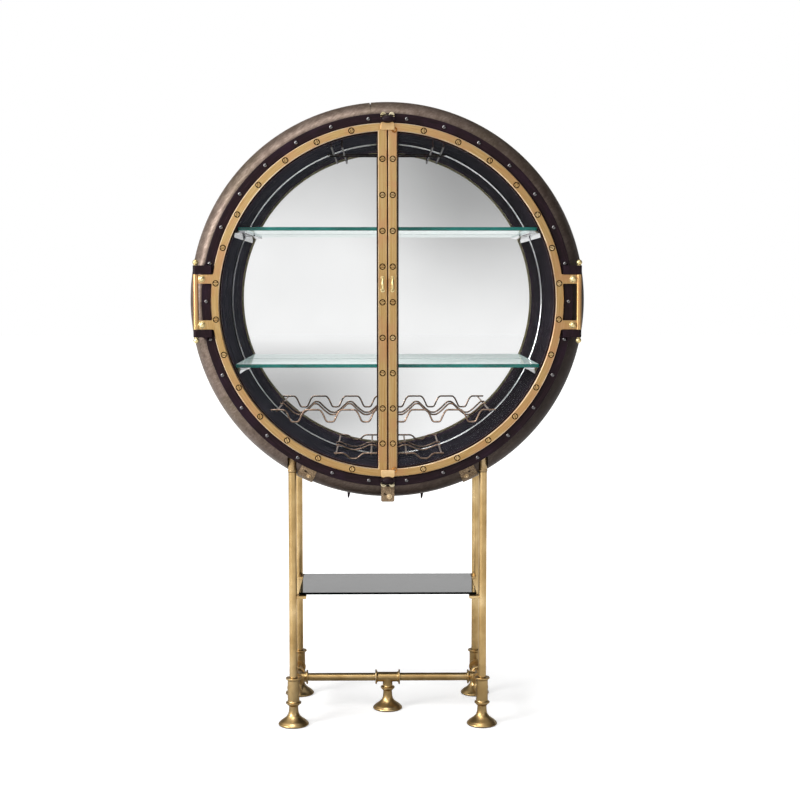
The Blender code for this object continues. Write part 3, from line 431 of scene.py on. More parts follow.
def bronze_cladding():
    """Thin hammered metal in taupe, rose and green-grey patches, with a fine slanting grain.
    Its shoulder has painted shade: darker to the right and at the bottom, and darkest at the lower right."""
    look = Finish("bronze_cladding", Metallic=0.55)
    patches = look.noise(9.0, 3.0)
    clouds = look.noise(45.0, 4.0)
    x, y, z = look.split()
    slant = look.plus(look.times(x, 0.8), look.times(z, -0.9))
    across = look.plus(look.times(x, 0.25), look.times(z, 0.22))
    grain = look.noise(190.0, 4.0, look.vector(slant, across, look.times(y, 0.8)), 0.62)
    fine = look.noise(620.0, 2.0)
    tone = look.ramp(clouds, (0.30, srgb(92, 76, 66)), (0.50, srgb(108, 92, 81)), (0.70, srgb(124, 108, 97)))
    tone = look.stain_or_shade(tone, patches, 0.46, 0.64, 0.4, srgb(98, 87, 64))
    tone = look.stain_or_shade(tone, grain, 0.52, 0.34, 0.5, srgb(66, 52, 45))
    tone = look.stain_or_shade(tone, grain, 0.56, 0.72, 0.4, srgb(160, 145, 134))
    tone = look.stain_or_shade(tone, fine, 0.58, 0.74, 0.25, srgb(176, 162, 152))
    shoulder_end = RING_FACE + SHOULDER_DEPTH
    shoulder = look.level(y, shoulder_end + 0.06, shoulder_end)
    # Painted shade on the shoulder: darker to the right and towards the bottom, darkest at the lower right,
    # where it is also rougher.
    shade = look.calc("MAXIMUM", look.level(x, -0.05, 0.50, 0.0, 0.55), look.level(z, 0.90, 0.70, 0.0, 0.62))
    tone = look.blend(look.times(shade, shoulder), tone, srgb(44, 31, 26))
    painted_shade_low_right = look.times(look.level(x, 0.05, 0.42), look.level(z, DRUM_Z + 0.30, DRUM_Z + 0.02))
    painted_shade_low_right = look.times(painted_shade_low_right, shoulder)
    tone = look.blend(look.times(painted_shade_low_right, 0.75), tone, srgb(20, 12, 11))
    look.set("Base Color", tone)
    look.set("Roughness", look.level(painted_shade_low_right, 0.0, 1.0, 0.45, 0.62))
    dents = look.bump(look.cells(90.0), 0.0006, 0.20)
    look.bump(grain, 0.0004, 0.30, dents)
    return look.material


def plum_enamel(name="plum_enamel", rough=0.42, shine=0.12, grit=0.4, coat=0.0):
    """Satin plum-black enamel with faint brush marks and specks of wear, and a painted shadow in dark brown
    beside the doors.
    """
    look = Finish(name, Specular_IOR_Level=shine, Coat_Weight=coat, Coat_Roughness=0.06)
    marks = look.noise(8.0, 4.0, look.along_ring(30.0, 1.2, 8.0))
    specks = look.noise(260.0, 3.0)
    clouds = look.noise(14.0, 3.0)
    radius, _ = look.round_drum()
    tone = look.ramp(marks, (0.3, srgb(19, 9, 12)), (0.55, srgb(29, 15, 20)), (0.75, srgb(43, 29, 35)))
    tone = look.stain_or_shade(tone, clouds, 0.50, 0.66, 0.45, srgb(40, 23, 38))
    # Painted shadow: a dark brown band on the ring right beside the doors' edge.
    door_shadow_edge = DOOR_OUTER_RADIUS + 0.0005
    tone = look.stain_or_shade(tone, radius, door_shadow_edge + 0.0040, door_shadow_edge, 0.8, srgb(34, 8, 4))
    tone = look.stain_or_shade(tone, specks, 0.66, 0.78, grit, srgb(84, 66, 66))
    look.set("Base Color", tone)
    look.roughness(marks, rough + 0.06, rough - 0.06)
    look.bump(specks, 0.0003, grit)
    return look.material


def brushed_brass(name, face, light, dark, rough=0.34):
    """Satin brass with painted shade: darker and browner to the right and at the bottom. Its brush marks
    follow the ring, and run upright on the meeting stiles."""
    look = Finish(name, Metallic=1.0)
    x, _, z = look.split()
    on_stile = look.calc("LESS_THAN", look.calc("ABSOLUTE", x), MEETING_GAP / 2 + STILE_WIDTH)
    ring_marks = look.noise(6.0, 5.0, look.along_ring(120.0, 1.6, 60.0))
    stile_marks = look.noise(6.0, 5.0, look.stretched(120.0, 60.0, 1.1))
    off_stile = look.calc("SUBTRACT", 1.0, on_stile)
    marks = look.plus(look.times(stile_marks, on_stile), look.times(ring_marks, off_stile))
    tone = look.ramp(marks, (0.30, dark), (0.50, face), (0.72, light))
    tone = look.stain_or_shade(tone, look.noise(14.0, 4.0), 0.46, 0.66, 0.6, srgb(206, 150, 112))
    # Painted shade: the brass turns browner to the right and towards the bottom.
    painted_shade_right = look.level(x, 0.05, 0.46, 0.0, 0.34)
    painted_shade_bottom = look.level(z, DRUM_Z + 0.2, 0.74, 0.0, 0.36)
    tone = look.blend(look.calc("MAXIMUM", painted_shade_right, painted_shade_bottom), tone, srgb(112, 74, 34))
    tone = look.stain_or_shade(tone, look.hollows(0.004), 0.75, 0.30, 0.85, srgb(84, 40, 14))
    look.set("Base Color", tone)
    look.roughness(marks, rough + 0.06, rough - 0.04)
    look.bump(marks, 0.00035, 0.30)
    return look.material


def cast_brass(name):
    """Rubbed cast brass: bright where it is handled, brown in its hollows."""
    face, light, dark, patina, rough, reach, depth, metal = CAST_BRASS[name]
    look = Finish(name, Metallic=metal)
    clouds = look.noise(16.0, 4.0)
    grain = look.noise(420.0, 3.0)
    tone = look.ramp(clouds, (0.28, srgb(*dark)), (0.50, srgb(*face)), (0.74, srgb(*light)))
    tone = look.stain_or_shade(tone, grain, 0.62, 0.78, 0.25, srgb(*patina))
    tone = look.stain_or_shade(tone, look.hollows(reach), 0.75, 0.25, depth, srgb(*patina))
    look.set("Base Color", tone)
    look.roughness(clouds, rough + 0.08, rough - 0.03)
    soft = look.bump(clouds, 0.0004, 0.20)
    look.bump(grain, 0.00020, 0.30, soft)
    return look.material


def speckled(name, scale, dark, light, strength, **sockets):
    """Matt finish whose fine grain runs between two (tone, colour) stops."""
    look = Finish(name, **sockets)
    grain = look.noise(scale, 2.0)
    look.set("Base Color", look.ramp(grain, dark, light))
    look.bump(grain, 0.0002, strength)
    return look.material


def pale_painted_light_lacquer():
    """Pale olive lacquered brass on the back of the glass retainers. Its paleness is painted light, for faces
    that the lamps hardly reach.
    """
    look = Finish("pale_painted_light_lacquer", Metallic=0.4, Roughness=0.45)
    clouds = look.noise(12.0, 3.0)
    # Painted light: paler than brass, as if the retainers' backs were well lit.
    look.set("Base Color", look.ramp(clouds, (0.3, srgb(196, 184, 142)), (0.7, srgb(216, 206, 168))))
    look.bump(look.noise(400.0, 2.0), 0.0002, 0.3)
    return look.material


def rough_bronze():
    """Coarse dark bronze casting of the brackets."""
    look = Finish("rough_bronze", Metallic=0.45)
    coarse = look.noise(520.0, 4.0)
    tone = look.ramp(coarse, (0.34, srgb(66, 50, 36)), (0.50, srgb(128, 106, 80)),
                     (0.66, srgb(186, 160, 126)))
    tone = look.stain_or_shade(tone, look.noise(60.0, 3.0), 0.45, 0.65, 0.4, srgb(104, 84, 58))
    tone = look.stain_or_shade(tone, look.hollows(0.004), 0.8, 0.35, 0.9, srgb(34, 24, 18))
    look.set("Base Color", tone)
    look.roughness(coarse, 0.62, 0.45)
    look.bump(coarse, 0.0006, 0.4)
    return look.material


def liner_lacquer():
    """Blue-black lacquer on the bent liner, with scuffs and white specks. Its light streaks round the drum
    are partly brush streaks and partly a painted reflection. It is plum-coloured near the doors, and painted
    shade darkens it to the right."""
    look = Finish("liner_lacquer", Specular_IOR_Level=0.0)
    streaks = look.noise(5.0, 5.0, look.along_ring(10.0, 0.9, 42.0))
    scuffs = look.noise(7.0, 6.0, look.along_ring(18.0, 3.5, 60.0), 0.7)
    clouds = look.noise(11.0, 3.0)
    x, y, _ = look.split()
    # Painted reflection: the light stop of the streaks stands partly for gloss, as the lacquer's specular is
    # off.
    tone = look.ramp(streaks, (0.30, srgb(27, 25, 33)), (0.50, srgb(46, 43, 54)), (0.72, srgb(92, 90, 104)))
    plum = look.ramp(clouds, (0.35, srgb(34, 22, 38)), (0.65, srgb(80, 59, 74)))
    tone = look.stain_or_shade(tone, y, RING_FACE + 0.12, RING_FACE + 0.03, 0.8, plum)
    tone = look.stain_or_shade(tone, scuffs, 0.60, 0.72, 0.7, srgb(150, 150, 158))
    # Painted shade: the liner darkens to the right.
    tone = look.stain_or_shade(tone, x, -0.10, 0.35, 0.7, srgb(24, 16, 18))
    tone = look.stain_or_shade(tone, look.noise(230.0, 2.0), 0.69, 0.76, 0.9, srgb(215, 215, 220))
    look.set("Base Color", tone)
    look.roughness(streaks, 0.65, 0.50)
    look.bump(streaks, 0.0005, 0.15)
    return look.material


def mirror_silver():
    """Silvered glass, a little cloudy towards its edge."""
    look = Finish("mirror_silver", Metallic=1.0)
    radius, _ = look.round_drum()
    haze = look.noise(3.0, 3.0)
    tone = look.ramp(haze, (0.3, (0.86, 0.865, 0.865, 1)), (0.7, (0.92, 0.925, 0.925, 1)))
    tone = look.stain_or_shade(tone, radius, MIRROR_RADIUS - 0.05, MIRROR_RADIUS, 0.5, (0.80, 0.81, 0.81, 1))
    look.set("Base Color", tone)
    look.roughness(haze, 0.004, 0.014)
    return look.material


def bright_chrome():
    """Polished chrome. Painted shade dulls the mirror's bead on the left of the drum's axis."""
    look = Finish("bright_chrome", Metallic=1.0)
    haze = look.noise(60.0, 3.0)
    radius, angle = look.round_drum()
    tone = look.ramp(haze, (0.3, (0.66, 0.67, 0.69, 1)), (0.7, (0.84, 0.85, 0.86, 1)))
    # Painted shade: the bead turns dark grey on the left of the drum's axis.
    painted_bead_shade = look.times(look.level(angle, -0.95, -1.20), look.level(angle, -2.05, -1.80))
    painted_bead_shade = look.times(painted_bead_shade, look.level(radius, 0.485, 0.47, 0.0, 0.85))
    look.set("Base Color", look.blend(painted_bead_shade, tone, srgb(70, 72, 80)))
    look.roughness(haze, 0.05, 0.12)
    look.bump(look.noise(300.0, 2.0), 0.0001, 0.3)
    return look.material


def float_glass(name, body, edge_share, face_share, glow=0.0):
    """Sheet glass: nearly clear when looked through, and more of a mirror at a low angle. A glow above 0
    makes it give off a faint painted light.
    """
    look = Finish(name, Specular_IOR_Level=0.6, Emission_Strength=glow, Emission_Color=(0.82, 1.0, 0.97, 1.0))
    smudge = look.noise(18.0, 4.0)
    lighter = tuple(min(1.0, share * 1.12) for share in body)
    look.set("Base Color", look.ramp(smudge, (0.3, body), (0.7, lighter)))
    look.roughness(smudge, 0.012, 0.035)
    facing = look.node("LayerWeight", {"Blend": 0.25}).outputs["Facing"]
    look.set("Alpha", look.level(facing, 0.0, 1.0, face_share, edge_share))
    return look.material


def glass_edge(name, dark, light, inside=None, shine=0.3):
    """Polished edge of sheet glass, where its colour gathers. Its inner side may get a paler colour, a
    painted highlight.
    """
    look = Finish(name, Specular_IOR_Level=shine, Coat_Weight=shine, Coat_Roughness=0.04)
    streaks = look.noise(9.0, 3.0)
    tone = look.ramp(streaks, (0.3, dark), (0.7, light))
    # Painted highlight: the edge's inner side, seen through the glass, turns paler.
    if inside:
        tone = look.blend(look.node("NewGeometry").outputs["Backfacing"], tone, inside)
    look.set("Base Color", tone)
    look.roughness(streaks, 0.10, 0.18)
    return look.material


def stained_plywood():
    """Dark stained timber with an upright grain."""
    look = Finish("stained_plywood")
    grain_place = look.stretched(55.0, 55.0, 3.0)
    grain = look.noise(3.0, 6.0, grain_place, 0.65)
    pores = look.noise(14.0, 2.0, grain_place)
    tone = look.ramp(grain, (0.30, srgb(44, 29, 20)), (0.50, srgb(74, 50, 34)), (0.72, srgb(104, 74, 50)))
    look.set("Base Color", look.stain_or_shade(tone, pores, 0.62, 0.72, 0.6, srgb(32, 20, 14)))
    look.roughness(grain, 0.62, 0.48)
    look.bump(grain, 0.0006, 0.3)
    return look.material


def bronze_wire():
    """Dark bronze plating of the racks' wires."""
    look = Finish("bronze_wire", Metallic=0.9)
    clouds = look.noise(120.0, 3.0)
    tone = look.ramp(clouds, (0.3, srgb(104, 84, 70)), (0.52, srgb(152, 126, 108)),
                     (0.72, srgb(190, 164, 146)))
    look.set("Base Color", look.stain_or_shade(tone, look.hollows(0.004), 0.8, 0.3, 0.7, srgb(60, 44, 34)))
    look.roughness(clouds, 0.38, 0.24)
    look.bump(clouds, 0.0002, 0.3)
    return look.material


# Mesh building

def skin(loops, wrap=False):
    """Join loops of equal length by quads. The last loop meets the first, or both get caps."""
    builder = bmesh.new()
    rows = [[builder.verts.new(point) for point in loop] for loop in loops]
    pairs = list(zip(rows, rows[1:]))
    if wrap:
        pairs.append((rows[-1], rows[0]))
    else:
        builder.faces.new(rows[0])
        builder.faces.new(rows[-1])
    for lower, upper in pairs:
        count = len(lower)
        for i in range(count):
            j = (i + 1) % count
            builder.faces.new((lower[i], lower[j], upper[j], upper[i]))
    bmesh.ops.recalc_face_normals(builder, faces=builder.faces)
    mesh = bpy.data.meshes.new("skin")
    builder.to_mesh(mesh)
    builder.free()
    return mesh


def rotation(degrees, axis):
    return Matrix.Rotation(math.radians(degrees), 4, axis)


def arc(centre, radii, start, end, steps):
    """Points of an elliptic arc between two angles in degrees. Negative radii mirror it."""
    turns = [math.radians(start + (end - start) * k / steps) for k in range(steps + 1)]
    return [(centre[0] + radii[0] * math.cos(t), centre[1] + radii[1] * math.sin(t)) for t in turns]


def corner_curve(start, corner, end, steps):
    """Points of a short curve from start to end that bends towards the corner."""
    shares = [k / steps for k in range(steps + 1)]
    return [start * (1 - t) ** 2 + corner * (2 * t * (1 - t)) + end * t ** 2 for t in shares]


def softened(points, radius, steps=4, closed=True):
    """Round the corners of an outline: each one becomes a short curve of the given reach."""
    result = []
    count = len(points)
    for i, corner in enumerate(points):
        here = Vector(corner)
        if not closed and i in (0, count - 1):
            result.append(here)
            continue
        before = Vector(points[i - 1]) - here
        after = Vector(points[(i + 1) % count]) - here
        reach = min(radius, before.length * 0.45, after.length * 0.45)
        start = here + before.normalized() * reach
        end = here + after.normalized() * reach
        result += corner_curve(start, here, end, steps)
    return result


def drum_point(radius, depth, angle):
    """Place in the world of a point given about the drum's axis."""
    return Vector((radius * math.sin(angle), RING_FACE + depth, DRUM_Z + radius * math.cos(angle)))


def drum_ring(section):
    """Sweep a closed section of (radius, depth) points round the drum."""
    angles = [2 * math.pi * i / DRUM_STEPS for i in range(DRUM_STEPS)]
    return skin([[drum_point(r, d, a) for r, d in section] for a in angles], wrap=True)


def plain_ring(inner, outer, front, back, soft):
    """Ring about the drum's axis with a rectangular section and soft corners."""
    return drum_ring(softened([(inner, front), (outer, front), (outer, back), (inner, back)], soft))


def turned(profile, place=(0, 0, 0), lie=None, steps=PIPE_STEPS, soft=0.0):
    """Turn an open profile of (radius, height) points about Z, cap both ends and set it down.
    soft rounds the corners of the profile."""
    if soft:
        profile = softened(profile, soft, closed=False)
    angles = [2 * math.pi * i / steps for i in range(steps)]
    mesh = skin([[Vector((r * math.cos(a), r * math.sin(a), h)) for a in angles] for r, h in profile])
    mesh.transform(Matrix.Translation(place) @ (lie or Matrix.Identity(4)))
    return mesh


def cylinder(radius, low, high, place=(0, 0, 0), steps=PIPE_STEPS):
    return turned([(radius, low), (radius, high)], place, steps=steps)


def box(x_range, y_range, z_range):
    corners = [(x_range[i], y_range[j]) for i, j in ((0, 0), (1, 0), (1, 1), (0, 1))]
    return skin([[Vector((x, y, z)) for x, y in corners] for z in z_range])


def prism(outline, y_range):
    """Outline of (x, z) points, drawn out from front to back."""
    return skin([[Vector((x, y, z)) for x, z in outline] for y in y_range])


def soft_edges(mesh, width, segments=3, angle=30):
    """Bevel every edge that is sharper than the angle, in degrees."""
    builder = bmesh.new()
    builder.from_mesh(mesh)
    edges = [e for e in builder.edges if e.calc_face_angle(0.0) > math.radians(angle)]
    bmesh.ops.bevel(builder, geom=edges, offset=width, segments=segments, profile=0.5,
                    affect="EDGES", clamp_overlap=True)
    builder.to_mesh(mesh)
    builder.free()
    return mesh


def tube(points, radius, sides=12, thickness=None):
    """Round bar through the points. thickness(share) may scale its radius along the way."""
    points = [Vector(p) for p in points]
    directions = [(b - a).normalized() for a, b in zip(points, points[1:])]
    tangents = [directions[0]]
    tangents += [(a + b).normalized() for a, b in zip(directions, directions[1:])]
    tangents.append(directions[-1])
    start = Vector((0, 0, 1)) if abs(tangents[0].z) < 0.9 else Vector((1, 0, 0))
    across = tangents[0].cross(start).normalized()
    loops = []
    for i, (point, along) in enumerate(zip(points, tangents)):
        across = (across - along * across.dot(along)).normalized()
        other = along.cross(across)
        size = radius * (thickness(i / (len(points) - 1)) if thickness else 1.0)
        loops.append([point + (across * math.cos(a) + other * math.sin(a)) * size
                      for a in (2 * math.pi * k / sides for k in range(sides))])
    return skin(loops)


def boolean(mesh, tool, operation):
    """New mesh of the two, joined or cut exactly."""
    collection = bpy.context.scene.collection
    base = bpy.data.objects.new("boolean_base", mesh)
    other = bpy.data.objects.new("boolean_tool", tool)
    collection.objects.link(base)
    collection.objects.link(other)
    modifier = base.modifiers.new("combine", "BOOLEAN")
    modifier.operation = operation
    modifier.solver = "EXACT"
    modifier.object = other
    bpy.context.view_layer.update()
    depsgraph = bpy.context.evaluated_depsgraph_get()
    result = bpy.data.meshes.new_from_object(base.evaluated_get(depsgraph))
    bpy.data.objects.remove(base)
    bpy.data.objects.remove(other)
    return result


def united(mesh, *others):
    for other in others:
        mesh = boolean(mesh, other, "UNION")
    return mesh


def cut(mesh, *tools):
    for tool in tools:
        mesh = boolean(mesh, tool, "DIFFERENCE")
    return mesh


def gathered(copies):
    """One mesh of separate copies, each given as a mesh and its matrix."""
    builder = bmesh.new()
    for mesh, matrix in copies:
        part = mesh.copy()
        part.transform(matrix)
        builder.from_mesh(part)
        bpy.data.meshes.remove(part)
    result = bpy.data.meshes.new("gathered")
    builder.to_mesh(result)
    builder.free()
    return result


def add_piece(name, mesh, looks, slot, body="root", replaces=(), sharp=38, paint=None):
    """Name a finished mesh, give it its materials and let it ride on its body. paint picks the
    number of a face's material from its centre and normal."""
    mesh.name = name
    mesh.materials.clear()
    for look in looks if isinstance(looks, list) else [looks]:
        mesh.materials.append(look)
    if paint is not None:
        for face in mesh.polygons:
            face.material_index = paint(face.center, face.normal)
    else:
        mesh.polygons.foreach_set("material_index", [0] * len(mesh.polygons))
    mesh.shade_smooth()
    mesh.set_sharp_from_angle(angle=math.radians(sharp))
    piece = bpy.data.objects.new(name, mesh)
    bpy.context.scene.collection.objects.link(piece)
    piece.modifiers.new("flat_faces", "WEIGHTED_NORMAL").keep_sharp = True
    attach(piece, body)
    if replaces:
        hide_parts(*replaces)
    return piece


# Drum

def shoulder_profile(swell=0.0):
    """Quarter of an ellipse over the shell's front shoulder, swollen outwards by a distance."""
    points = []
    for i in range(SHOULDER_STEPS + 1):
        turn = math.pi / 2 * i / SHOULDER_STEPS
        wide = SHELL_RADIUS - RING_OUTER_RADIUS
        tall = SHOULDER_DEPTH - RIM_FRONT
        radius = RING_OUTER_RADIUS + wide * math.sin(turn)
        depth = SHOULDER_DEPTH - tall * math.cos(turn)
        out = Vector((math.sin(turn) / wide, -math.cos(turn) / tall)).normalized()
        points.append((radius + out.x * swell, depth + out.y * swell))
    return points


def make_shell(look):
    """Drum shell, with a groove for each front leg and the seam of its cladding."""
    section = [Vector((RIM_INNER_RADIUS, RIM_FRONT)), *map(Vector, shoulder_profile())]
    section += softened([
        (SHELL_RADIUS, SHOULDER_DEPTH),
        (SHELL_RADIUS, SHELL_BACK),
        (SHELL_RADIUS - SHELL_WALL, SHELL_BACK),
        (SHELL_RADIUS - SHELL_WALL, RIM_BACK),
    ], 0.002, closed=False)[1:]
    section.append(Vector((RIM_INNER_RADIUS, RIM_BACK)))
    shell = drum_ring(section)
    bottom = DRUM_Z - SHELL_RADIUS
    top = LEG_TOP + FIT_GAP
    leg_y = RING_FACE + FRONT_LEG_DEPTH
    inner_x = LEG_X - GROOVE_MOUTH_HALF_WIDTH
    outer_x = LEG_X + GROOVE_MOUTH_HALF_WIDTH
    opening = [(inner_x, RING_FACE), (inner_x, leg_y), (outer_x, leg_y), (outer_x - GROOVE_LIP, RING_FACE)]
    for side in (-1, 1):
        bore = cylinder(GROOVE_RADIUS, bottom, top, (side * LEG_X, leg_y, 0))
        mouth = skin([[Vector((side * x, y, z)) for x, y in opening] for z in (bottom, top)])
        shell = cut(shell, united(bore, mouth))
    seam_section = shoulder_profile(-SHELL_SEAM_DEPTH)
    seam_section += [(SHELL_RADIUS - SHELL_SEAM_DEPTH, 2 * SHELL_BACK), (2 * SHELL_RADIUS, 2 * SHELL_BACK)]
    seam_section += [(r + SHELL_WALL, d - SHELL_WALL) for r, d in shoulder_profile(SHELL_WALL)][::-1]
    lean = SHELL_SEAM_WIDTH / 2 / SHELL_RADIUS
    seam = skin([[drum_point(r, d, SHELL_SEAM_ANGLE + side * lean) for r, d in seam_section]
                 for side in (-1, 1)])
    add_piece("drum_shell", cut(shell, seam), look, "hammered_bronze", replaces=["outer_shell"])


def hinge_place(side):
    return (side * HINGE_X, RING_FACE + HINGE_DEPTH, DRUM_Z)


def hinge_knuckle(side, low, high, outward):
    """Knuckle cast on the dark ring: a block, a round nose, and a fillet where it leaves the ring."""
    front = RING_FACE + KNUCKLE_FRONT
    block = soft_edges(box(
        sorted((side * KNUCKLE_INNER_X, side * HINGE_X)),
        (front, RING_FACE + RING_BEVEL),
        (DRUM_Z + low, DRUM_Z + high),
    ), 0.0008)
    nose_profile = [(0.001, low), (BARREL_RADIUS, low), (BARREL_RADIUS, high), (0.001, high)]
    nose = turned(nose_profile, hinge_place(side), soft=0.0008)
    edge = high if outward > 0 else low
    fillet = UPPER_KNUCKLE_FILLET if outward > 0 else LOWER_KNUCKLE_FILLET
    far = edge + outward * fillet
    near_x = math.sqrt(RING_OUTER_RADIUS ** 2 - edge ** 2)
    far_x = math.sqrt(RING_OUTER_RADIUS ** 2 - far ** 2)
    start = Vector((near_x + fillet, edge))
    curve = corner_curve(start, Vector((near_x, edge)), Vector((far_x - 0.0005, far)), 8)
    inside = near_x - 0.006
    low_edge = edge - outward * 0.002
    outline = [(start.x, low_edge), *curve, (inside, far), (inside, low_edge)]
    web = prism([(side * x, DRUM_Z + z) for x, z in outline], (front + 0.002, RING_FACE + RING_THICKNESS))
    return block, nose, web


def make_dark_ring(look):
    """Front ring with the four fixed hinge knuckles that are cast on it."""
    ring = plain_ring(RING_INNER_RADIUS, RING_OUTER_RADIUS, 0.0, RING_THICKNESS, RING_BEVEL)
    for side in (-1, 1):
        ring = united(ring, *hinge_knuckle(side, BARREL_TOP + KNUCKLE_GAP, KNUCKLE_TOP, 1))
        ring = united(ring, *hinge_knuckle(side, -KNUCKLE_TOP, BARREL_BOTTOM - KNUCKLE_GAP, -1))
        ring = cut(ring, cylinder(KNUCKLE_BORE, -2 * KNUCKLE_TOP, 2 * KNUCKLE_TOP, hinge_place(side)))
    add_piece("dark_ring", ring, look, "dark_iron", replaces=["front_ring"])


def facing_front(x, depth, z, turn=0.0):
    """Matrix that lays a mesh turned about +Z so that its top faces the front."""
    return (Matrix.Translation((x, RING_FACE + depth, DRUM_Z + z))
            @ Matrix.Rotation(turn, 4, "Y") @ rotation(90, "X"))


def even_angles(count):
    """Evenly spaced angles round the drum. The first is half a step from its top."""
    return [2 * math.pi * (k + 0.5) / count for k in range(count)]


def make_rivets(look):
    """Round-head rivets on the dark ring."""
    dome = arc((0.0, 0.0004), (RIVET_RADIUS * 0.96, RIVET_HEIGHT), 0, 90, 7)[1:-1]
    rivet = turned([(RIVET_RADIUS, -0.0004), (RIVET_RADIUS, 0.0004), *dome], steps=24)
    copies = []
    for angle in even_angles(RIVET_COUNT):
        x = RIVET_CIRCLE * math.sin(angle)
        z = RIVET_CIRCLE * math.cos(angle)
        copies.append((rivet, facing_front(x, 0.0, z)))
    add_piece("ring_rivets", gathered(copies), look, "dark_iron")


def disc(radius, low, high, depth, soft):
    """Round plate about the drum's axis, from low to high in front of a depth."""
    profile = [(0.0005, low), (radius, low), (radius, high), (0.0005, high)]
    plate = turned(profile, steps=DRUM_STEPS, soft=soft)
    plate.transform(facing_front(0, depth, 0))
    return plate


def make_drum_inside(liner, mirror, chrome):
    """Liner, mirror, and the thin bead at the mirror's edge."""
    shell = plain_ring(LINER_INNER_RADIUS, LINER_INNER_RADIUS + LINER_WALL, LINER_FRONT, LINER_BACK, 0.001)
    add_piece("drum_liner", shell, liner, "liner", replaces=["inner_liner"])
    plate = disc(MIRROR_RADIUS, -MIRROR_THICKNESS, 0.0, MIRROR_FRONT, 0.001)
    add_piece("mirror_disc", plate, mirror, "mirror", replaces=["mirror"])
    back = MIRROR_FRONT - FIT_GAP
    middle = (BEAD_INNER_RADIUS + BEAD_OUTER_RADIUS) / 2
    half = (BEAD_OUTER_RADIUS - BEAD_INNER_RADIUS) / 2
    bead = arc((middle, back), (-half, -BEAD_THICKNESS), 0, 180, 10)
    add_piece("mirror_edge_bead", drum_ring(bead), chrome, "chrome", replaces=["mirror_bead"])


def make_back(timber, screw):
    """Timber back panel and its screws. The carcass ring before it keeps the CAD's own mesh."""
    low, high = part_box("back_panel")
    radius = high.x - BACK_EDGE_GAP
    depth = high.y - RING_FACE
    panel = disc(radius, 0.0, high.y - low.y, depth, 0.0015)
    add_piece("timber_back", panel, timber, "timber", replaces=["back_panel"])
    slot = box((-0.0006, 0.0006), (-0.006, 0.006), (0.0009, 0.004))
    head = cut(turned(BACK_SCREW_HEAD, steps=20), slot)
    copies = []
    for angle in even_angles(BACK_SCREWS):
        place = Matrix.Translation(drum_point(radius - BACK_SCREW_INSET, depth, angle))
        spin = Matrix.Rotation(angle * 2.3, 4, "Y") @ rotation(-90, "X")
        copies.append((head, place @ spin))
    add_piece("back_panel_screws", gathered(copies), screw, "satin_brass")
    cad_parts["rear_carcass_ring"].data.materials.clear()
    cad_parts["rear_carcass_ring"].data.materials.append(timber)


def make_studs(look):
    """Two bent spikes under the drum."""
    for name in ("left_bottom_stud", "right_bottom_stud"):
        low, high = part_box(name)
        x = (low.x + high.x) / 2
        y = (low.y + high.y) / 2
        radius = (high.x - low.x) / 2
        lean = -radius * 0.35
        points = [(x, y, high.z), (x, y, high.z - 0.004),
                  (x + lean * 0.4, y, low.z + 0.005), (x + lean, y, low.z)]
        spike = tube(points, radius * 0.95, 16, lambda share: 1.0 - 0.72 * share ** 1.2)
        add_piece(name.replace("stud", "spike"), spike, look, "dark_iron", replaces=[name])


def bracket_plate(angle, width, start_radius):
    """Bent plate over the shoulder and a little way along the shell, at one angle of the drum."""
    def row(lift):
        line = [(start_radius, RIM_FRONT - lift)]
        line += [(r, d) for r, d in shoulder_profile(lift) if r > start_radius]
        line.append((SHELL_RADIUS + lift, SHOULDER_DEPTH + BRACKET_WRAP))
        return line

    section = row(BRACKET_GAP) + row(BRACKET_GAP + BRACKET_THICKNESS)[::-1]
    half = width / 2 / SHELL_RADIUS
    angles = [angle + half * (k / 4 - 1) for k in range(9)]
    plate = skin([[drum_point(r, d, a) for r, d in section] for a in angles])
    return soft_edges(plate, 0.0007, 2, 60)


def make_side_bracket(name, angle, casting, bright):
    """Bracket over the shoulder, at the drum's lower left or lower right."""
    plate = bracket_plate(angle, SIDE_BRACKET_WIDTH, RING_OUTER_RADIUS + BRACKET_GAP)
    slope = (SHELL_RADIUS - RING_OUTER_RADIUS) / (SHOULDER_DEPTH - RIM_FRONT)
    middle = math.copysign(1, angle)

    def on_plate(share, shift, lift, spin=0.0):
        """Matrix on the plate's sloping face, a share of the way out and shifted towards the bottom."""
        turn = math.pi / 2 * share
        radius = RING_OUTER_RADIUS + (SHELL_RADIUS - RING_OUTER_RADIUS) * math.sin(turn)
        depth = SHOULDER_DEPTH - (SHOULDER_DEPTH - RIM_FRONT) * math.cos(turn)
        tilt = math.atan(math.tan(turn) / slope)
        out = Vector((math.sin(tilt), -math.cos(tilt)))
        there = angle + middle * shift / radius
        place = drum_point(radius + out.x * lift, depth + out.y * lift, there)
        lie = Matrix.Rotation(there, 4, "Y") @ Matrix.Rotation(math.pi / 2 - tilt, 4, "X")
        return Matrix.Translation(place) @ lie @ Matrix.Rotation(spin, 4, "Z")

    hole_place = on_plate(*SIDE_BRACKET_HOLE, 0.0, 0.3 * middle)
    bolt_place = on_plate(*SIDE_BRACKET_BOLT, BRACKET_GAP + BRACKET_THICKNESS)
    finish_bracket(name, plate, hole_place, bolt_place, casting, bright)


def finish_bracket(name, plate, hole_place, bolt_place, casting, bright):
    """Slot hole through a bracket's plate, and the bolt on its washer beside it."""
    hole = cylinder(BRACKET_HOLE_RADIUS, -0.006, 0.010, steps=24)
    hole.transform(hole_place @ Matrix.Diagonal((*BRACKET_HOLE_SHAPE, 1.0, 1.0)))
    add_piece(name + "_plate", cut(plate, hole), casting, "bronze_casting", replaces=[name])
    bolt = united(turned(WASHER, steps=32, soft=0.0005), turned(BOLT_STEM, steps=24, soft=0.0012))
    bolt.transform(bolt_place)
    add_piece(name + "_bolt", bolt, bright, "bronze_casting")


